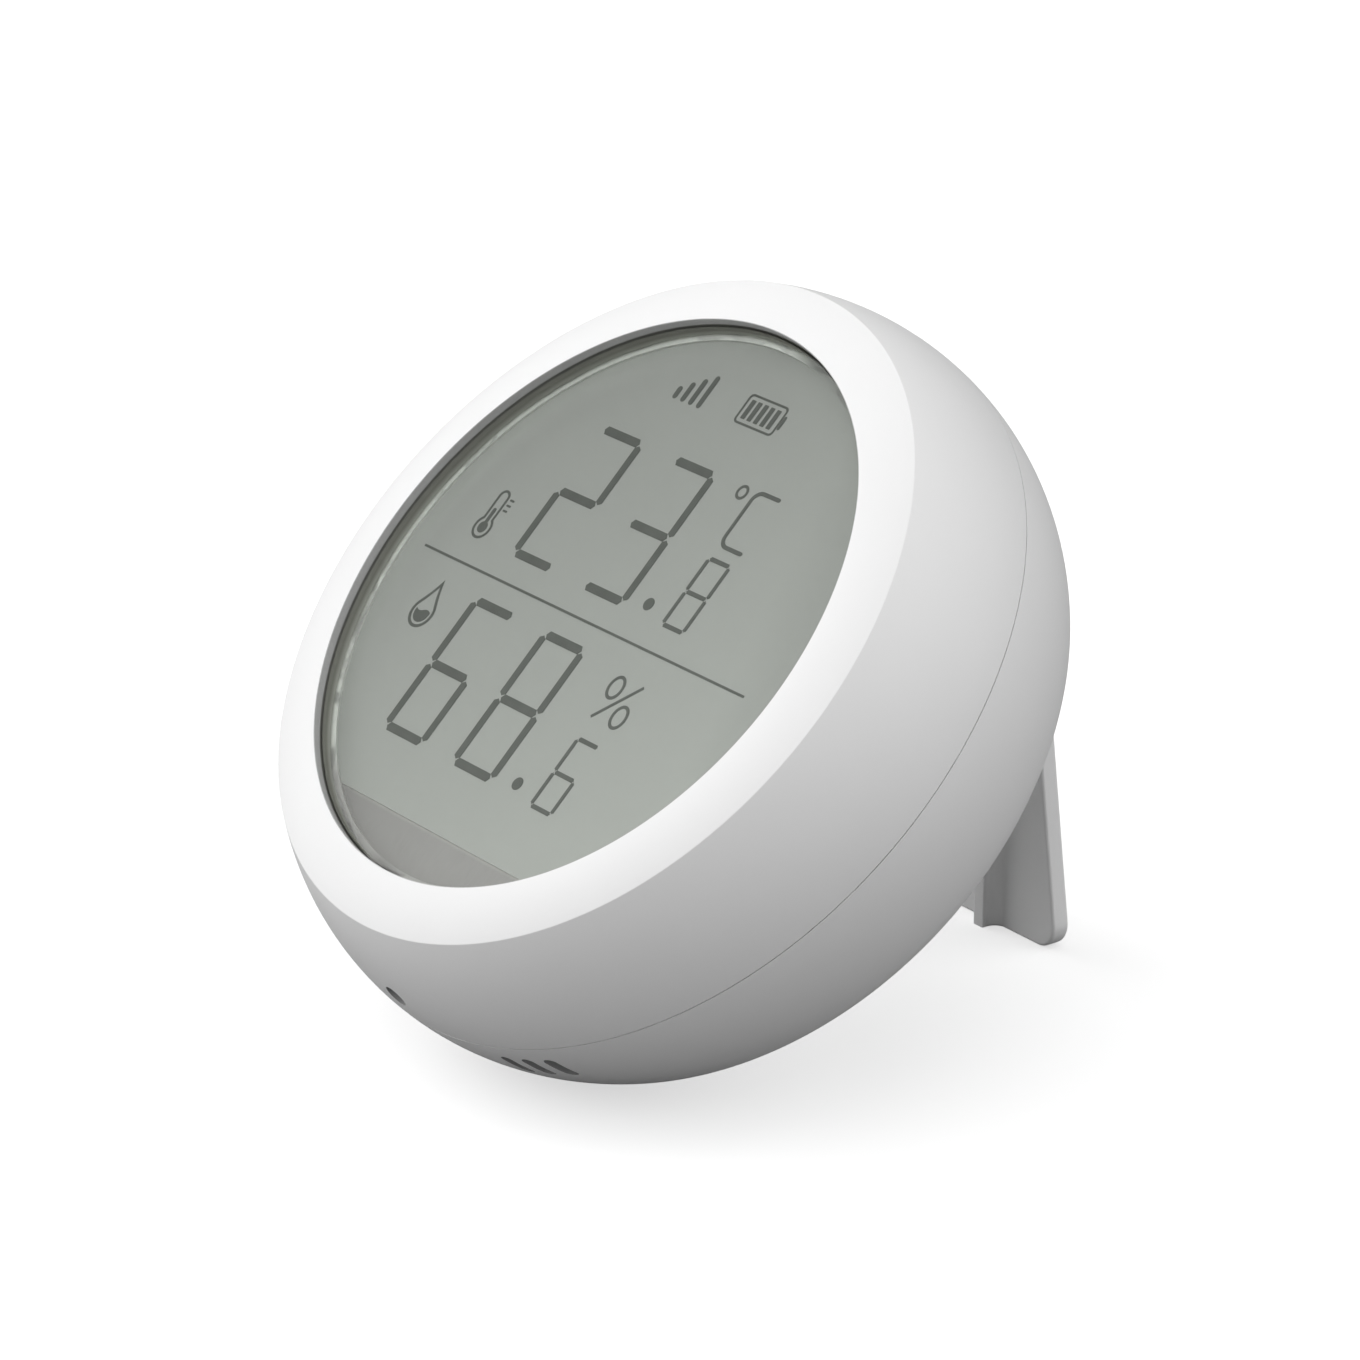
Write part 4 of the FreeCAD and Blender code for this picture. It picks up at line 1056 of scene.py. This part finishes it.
def float_glass():
    """The display's glass where no film covers it: pale grey with a faint run of conductors, darker towards the
    left, with painted light along the film's edge and a painted glow at its covered rim.
    """
    material, tree, shader = new_material("display_glass")
    fine = grain(tree, 900, 2.0, (6, 1, 1))
    glass = blend(tree, fine, (0.355, 0.343, 0.341), (0.375, 0.363, 0.361))
    up = along(tree, UP)
    # Painted light along the film's lower edge, against the shadow that the film casts
    painted_edge_light = ranged(tree, up, -0.0221, -0.02175, 1.0, 1.3)
    dim = ranged(tree, along(tree, RIGHT), -0.016, 0.002, 0.88, 1.0)
    tree.links.new(scaled(tree, glass, maths(tree, "MULTIPLY", painted_edge_light, dim)), shader.inputs["Base Color"])
    # A painted glow at the glass's covered rim, against the shade under the tape
    rim = ranged(tree, radius_of(tree), 0.0256, 0.0258)
    below = maths(tree, "LESS_THAN", up, -0.02)
    shader.inputs["Emission Color"].default_value = (0.12, 0.117, 0.115, 1)
    tree.links.new(maths(tree, "MULTIPLY", rim, below), shader.inputs["Emission Strength"])
    spread(tree, shader, "Roughness", fine, 0.12, 0.2)
    shader.inputs["Specular IOR Level"].default_value = 0.3
    return material


def metal(name, colour, roughness, stretch):
    """Plated sheet or wire, drawn along one direction."""
    material, tree, shader = new_material(name)
    streaks = grain(tree, 900, 4.0, stretch)
    cloud = grain(tree, 300)
    tree.links.new(blend(tree, cloud, shade(colour, 0.86), colour), shader.inputs["Base Color"])
    shader.inputs["Metallic"].default_value = 1.0
    spread(tree, shader, "Roughness", streaks, roughness - 0.08, roughness + 0.1)
    bump(tree, shader, streaks, 0.000006, 0.4)
    return material


def board():
    """Green solder mask with faint tracks under it."""
    material, tree, shader = new_material("board_green")
    place = node(tree, "ShaderNodeTexCoord")
    tracks = node(tree, "ShaderNodeTexBrick", Scale=260.0, Mortar_Size=0.03)
    tracks.inputs["Color1"].default_value = (0.012, 0.10, 0.035, 1)
    tracks.inputs["Color2"].default_value = (0.014, 0.115, 0.04, 1)
    tracks.inputs["Mortar"].default_value = (0.03, 0.19, 0.07, 1)
    tree.links.new(place.outputs["Object"], tracks.inputs["Vector"])
    tree.links.new(tracks.outputs["Color"], shader.inputs["Base Color"])
    spread(tree, shader, "Roughness", grain(tree, 700), 0.28, 0.42)
    bump(tree, shader, tracks.outputs["Fac"], 0.00001, 0.3)
    return material


def rubber():
    """Layered conductive and insulating silicone."""
    material, tree, shader = new_material("zebra_rubber")
    place = node(tree, "ShaderNodeTexCoord")
    bands = node(tree, "ShaderNodeTexWave", Scale=1600.0, Distortion=0.0)
    tree.links.new(place.outputs["Object"], bands.inputs["Vector"])
    layers = blend(tree, bands.outputs["Fac"], (0.02, 0.02, 0.022), (0.35, 0.35, 0.36))
    tree.links.new(layers, shader.inputs["Base Color"])
    shader.inputs["Roughness"].default_value = 0.6
    return material


def epoxy(name, colour):
    """Dark moulded resin with a sandy surface."""
    material, tree, shader = new_material(name)
    fine = grain(tree, 2600, 4.0)
    tree.links.new(blend(tree, fine, colour, shade(colour, 1.6)), shader.inputs["Base Color"])
    spread(tree, shader, "Roughness", fine, 0.5, 0.7)
    bump(tree, shader, fine, 0.000008, 0.4)
    return material


def cell_wrap():
    """A printed sleeve: dark along its middle, with a copper-coloured band at each end."""
    material, tree, shader = new_material("cell_wrap")
    reach = maths(tree, "ABSOLUTE", along(tree, RIGHT))
    band = ranged(tree, reach, 0.0132, 0.0134)
    scuffs = grain(tree, 400, 4.0)
    dark = blend(tree, scuffs, (0.018, 0.02, 0.024), (0.03, 0.033, 0.04))
    copper = blend(tree, scuffs, (0.42, 0.19, 0.08), (0.5, 0.24, 0.1))
    tree.links.new(mixed_colour(tree, band, dark, copper), shader.inputs["Base Color"])
    shader.inputs["Metallic"].default_value = 0.6
    spread(tree, shader, "Roughness", scuffs, 0.25, 0.4)
    return material


MATERIALS = {
    "window_clear": window_clear(),
    "tape_grey": foam_tape(),
    "film_grey": film("film_grey", (0.369, 0.374, 0.361)),
    "display_glass": float_glass(),
    "frame_grey": moulded("frame_grey", (0.5, 0.5, 0.49), 0.5),
    "zebra_rubber": rubber(),
    "board_green": board(),
    "shield_tin": metal("shield_tin", (0.72, 0.72, 0.7), 0.32, (1, 6, 1)),
    "chip_black": epoxy("chip_black", (0.02, 0.02, 0.021)),
    "button_black": epoxy("button_black", (0.035, 0.035, 0.036)),
    "chassis_white": moulded("chassis_white", (0.74, 0.74, 0.72), 0.55, 1800, 0.00001),
    "steel": metal("steel", (0.62, 0.62, 0.63), 0.28, (1, 8, 8)),
    "contact_nickel": metal("contact_nickel", (0.76, 0.74, 0.68), 0.25, (8, 1, 1)),
    "cell_wrap": cell_wrap(),
    "housing_white": housing_white,
    "stand_white": stand_white,
}
for row in frame["record"]["subparts"]:
    mesh = frame["nodes"][row["node"]].data
    mesh.materials.clear()
    mesh.materials.append(MATERIALS[row["material_slot"]])


# Floor and light

FLOOR_SHOWN = 0.55
FLOOR_BOUNCE = 0.25
FLOOR_GLOW = 0.6
SKY = 0.045
SHEEN = 0.12
LAMP_SPREAD = 60

# Direction to each lamp, and its strength
LAMPS = {
    "key": ((0.25, -0.7, 0.75), 1.27),
    "top": ((0, 0, 1), 0.78),
    "left": ((-0.8, -0.4, 0.4), 2.26),
    "back": ((0.6, 0.7, 0.5), 1.34),
    "right": ((0.7, -0.6, 0.4), 0.3),
}


def add_floor():
    """A pale floor: bright for the camera, duller as a reflector under the object."""
    work = bmesh.new()
    bmesh.ops.create_grid(work, x_segments=1, y_segments=1, size=3)
    mesh = bpy.data.meshes.new("floor")
    work.to_mesh(mesh)
    work.free()
    material, tree, shader = new_material("floor_pale")
    seen = node(tree, "ShaderNodeLightPath").outputs["Is Camera Ray"]
    colour = mixed_colour(tree, seen, (FLOOR_BOUNCE,) * 3, (FLOOR_SHOWN,) * 3)
    tree.links.new(colour, shader.inputs["Base Color"])
    shader.inputs["Roughness"].default_value = 0.9
    shader.inputs["Specular IOR Level"].default_value = 0.0
    shader.inputs["Emission Color"].default_value = (1, 1, 1, 1)
    tree.links.new(maths(tree, "MULTIPLY", seen, FLOOR_GLOW), shader.inputs["Emission Strength"])
    mesh.materials.append(material)
    add_object("floor", mesh)


def add_world():
    """White to look at, a soft level in reflections and a faint one as light."""
    world = bpy.data.worlds.new("studio")
    world.use_nodes = True
    tree = world.node_tree
    path = node(tree, "ShaderNodeLightPath")
    shown = ranged(tree, path.outputs["Is Glossy Ray"], 0, 1, SKY, SHEEN)
    level = node(tree, "ShaderNodeMapRange")
    level.inputs["To Max"].default_value = 1.0
    tree.links.new(shown, level.inputs["To Min"])
    tree.links.new(path.outputs["Is Camera Ray"], level.inputs["Value"])
    background = tree.nodes["Background"]
    background.inputs["Color"].default_value = (1, 1, 1, 1)
    tree.links.new(level.outputs["Result"], background.inputs["Strength"])
    bpy.context.scene.world = world


def add_lamp(name, direction, strength):
    """A broad soft light from one direction, even over the whole floor."""
    data = bpy.data.lights.new(name, "SUN")
    data.angle = math.radians(LAMP_SPREAD)
    data.energy = strength
    lamp = add_object(name, data)
    lamp.rotation_mode = "QUATERNION"
    lamp.rotation_quaternion = Vector(direction).to_track_quat("Z", "Y")
    lamp.visible_glossy = False


add_floor()
add_world()
for name, (direction, strength) in LAMPS.items():
    add_lamp(name, direction, strength)
bpy.context.scene.view_settings.view_transform = "Standard"
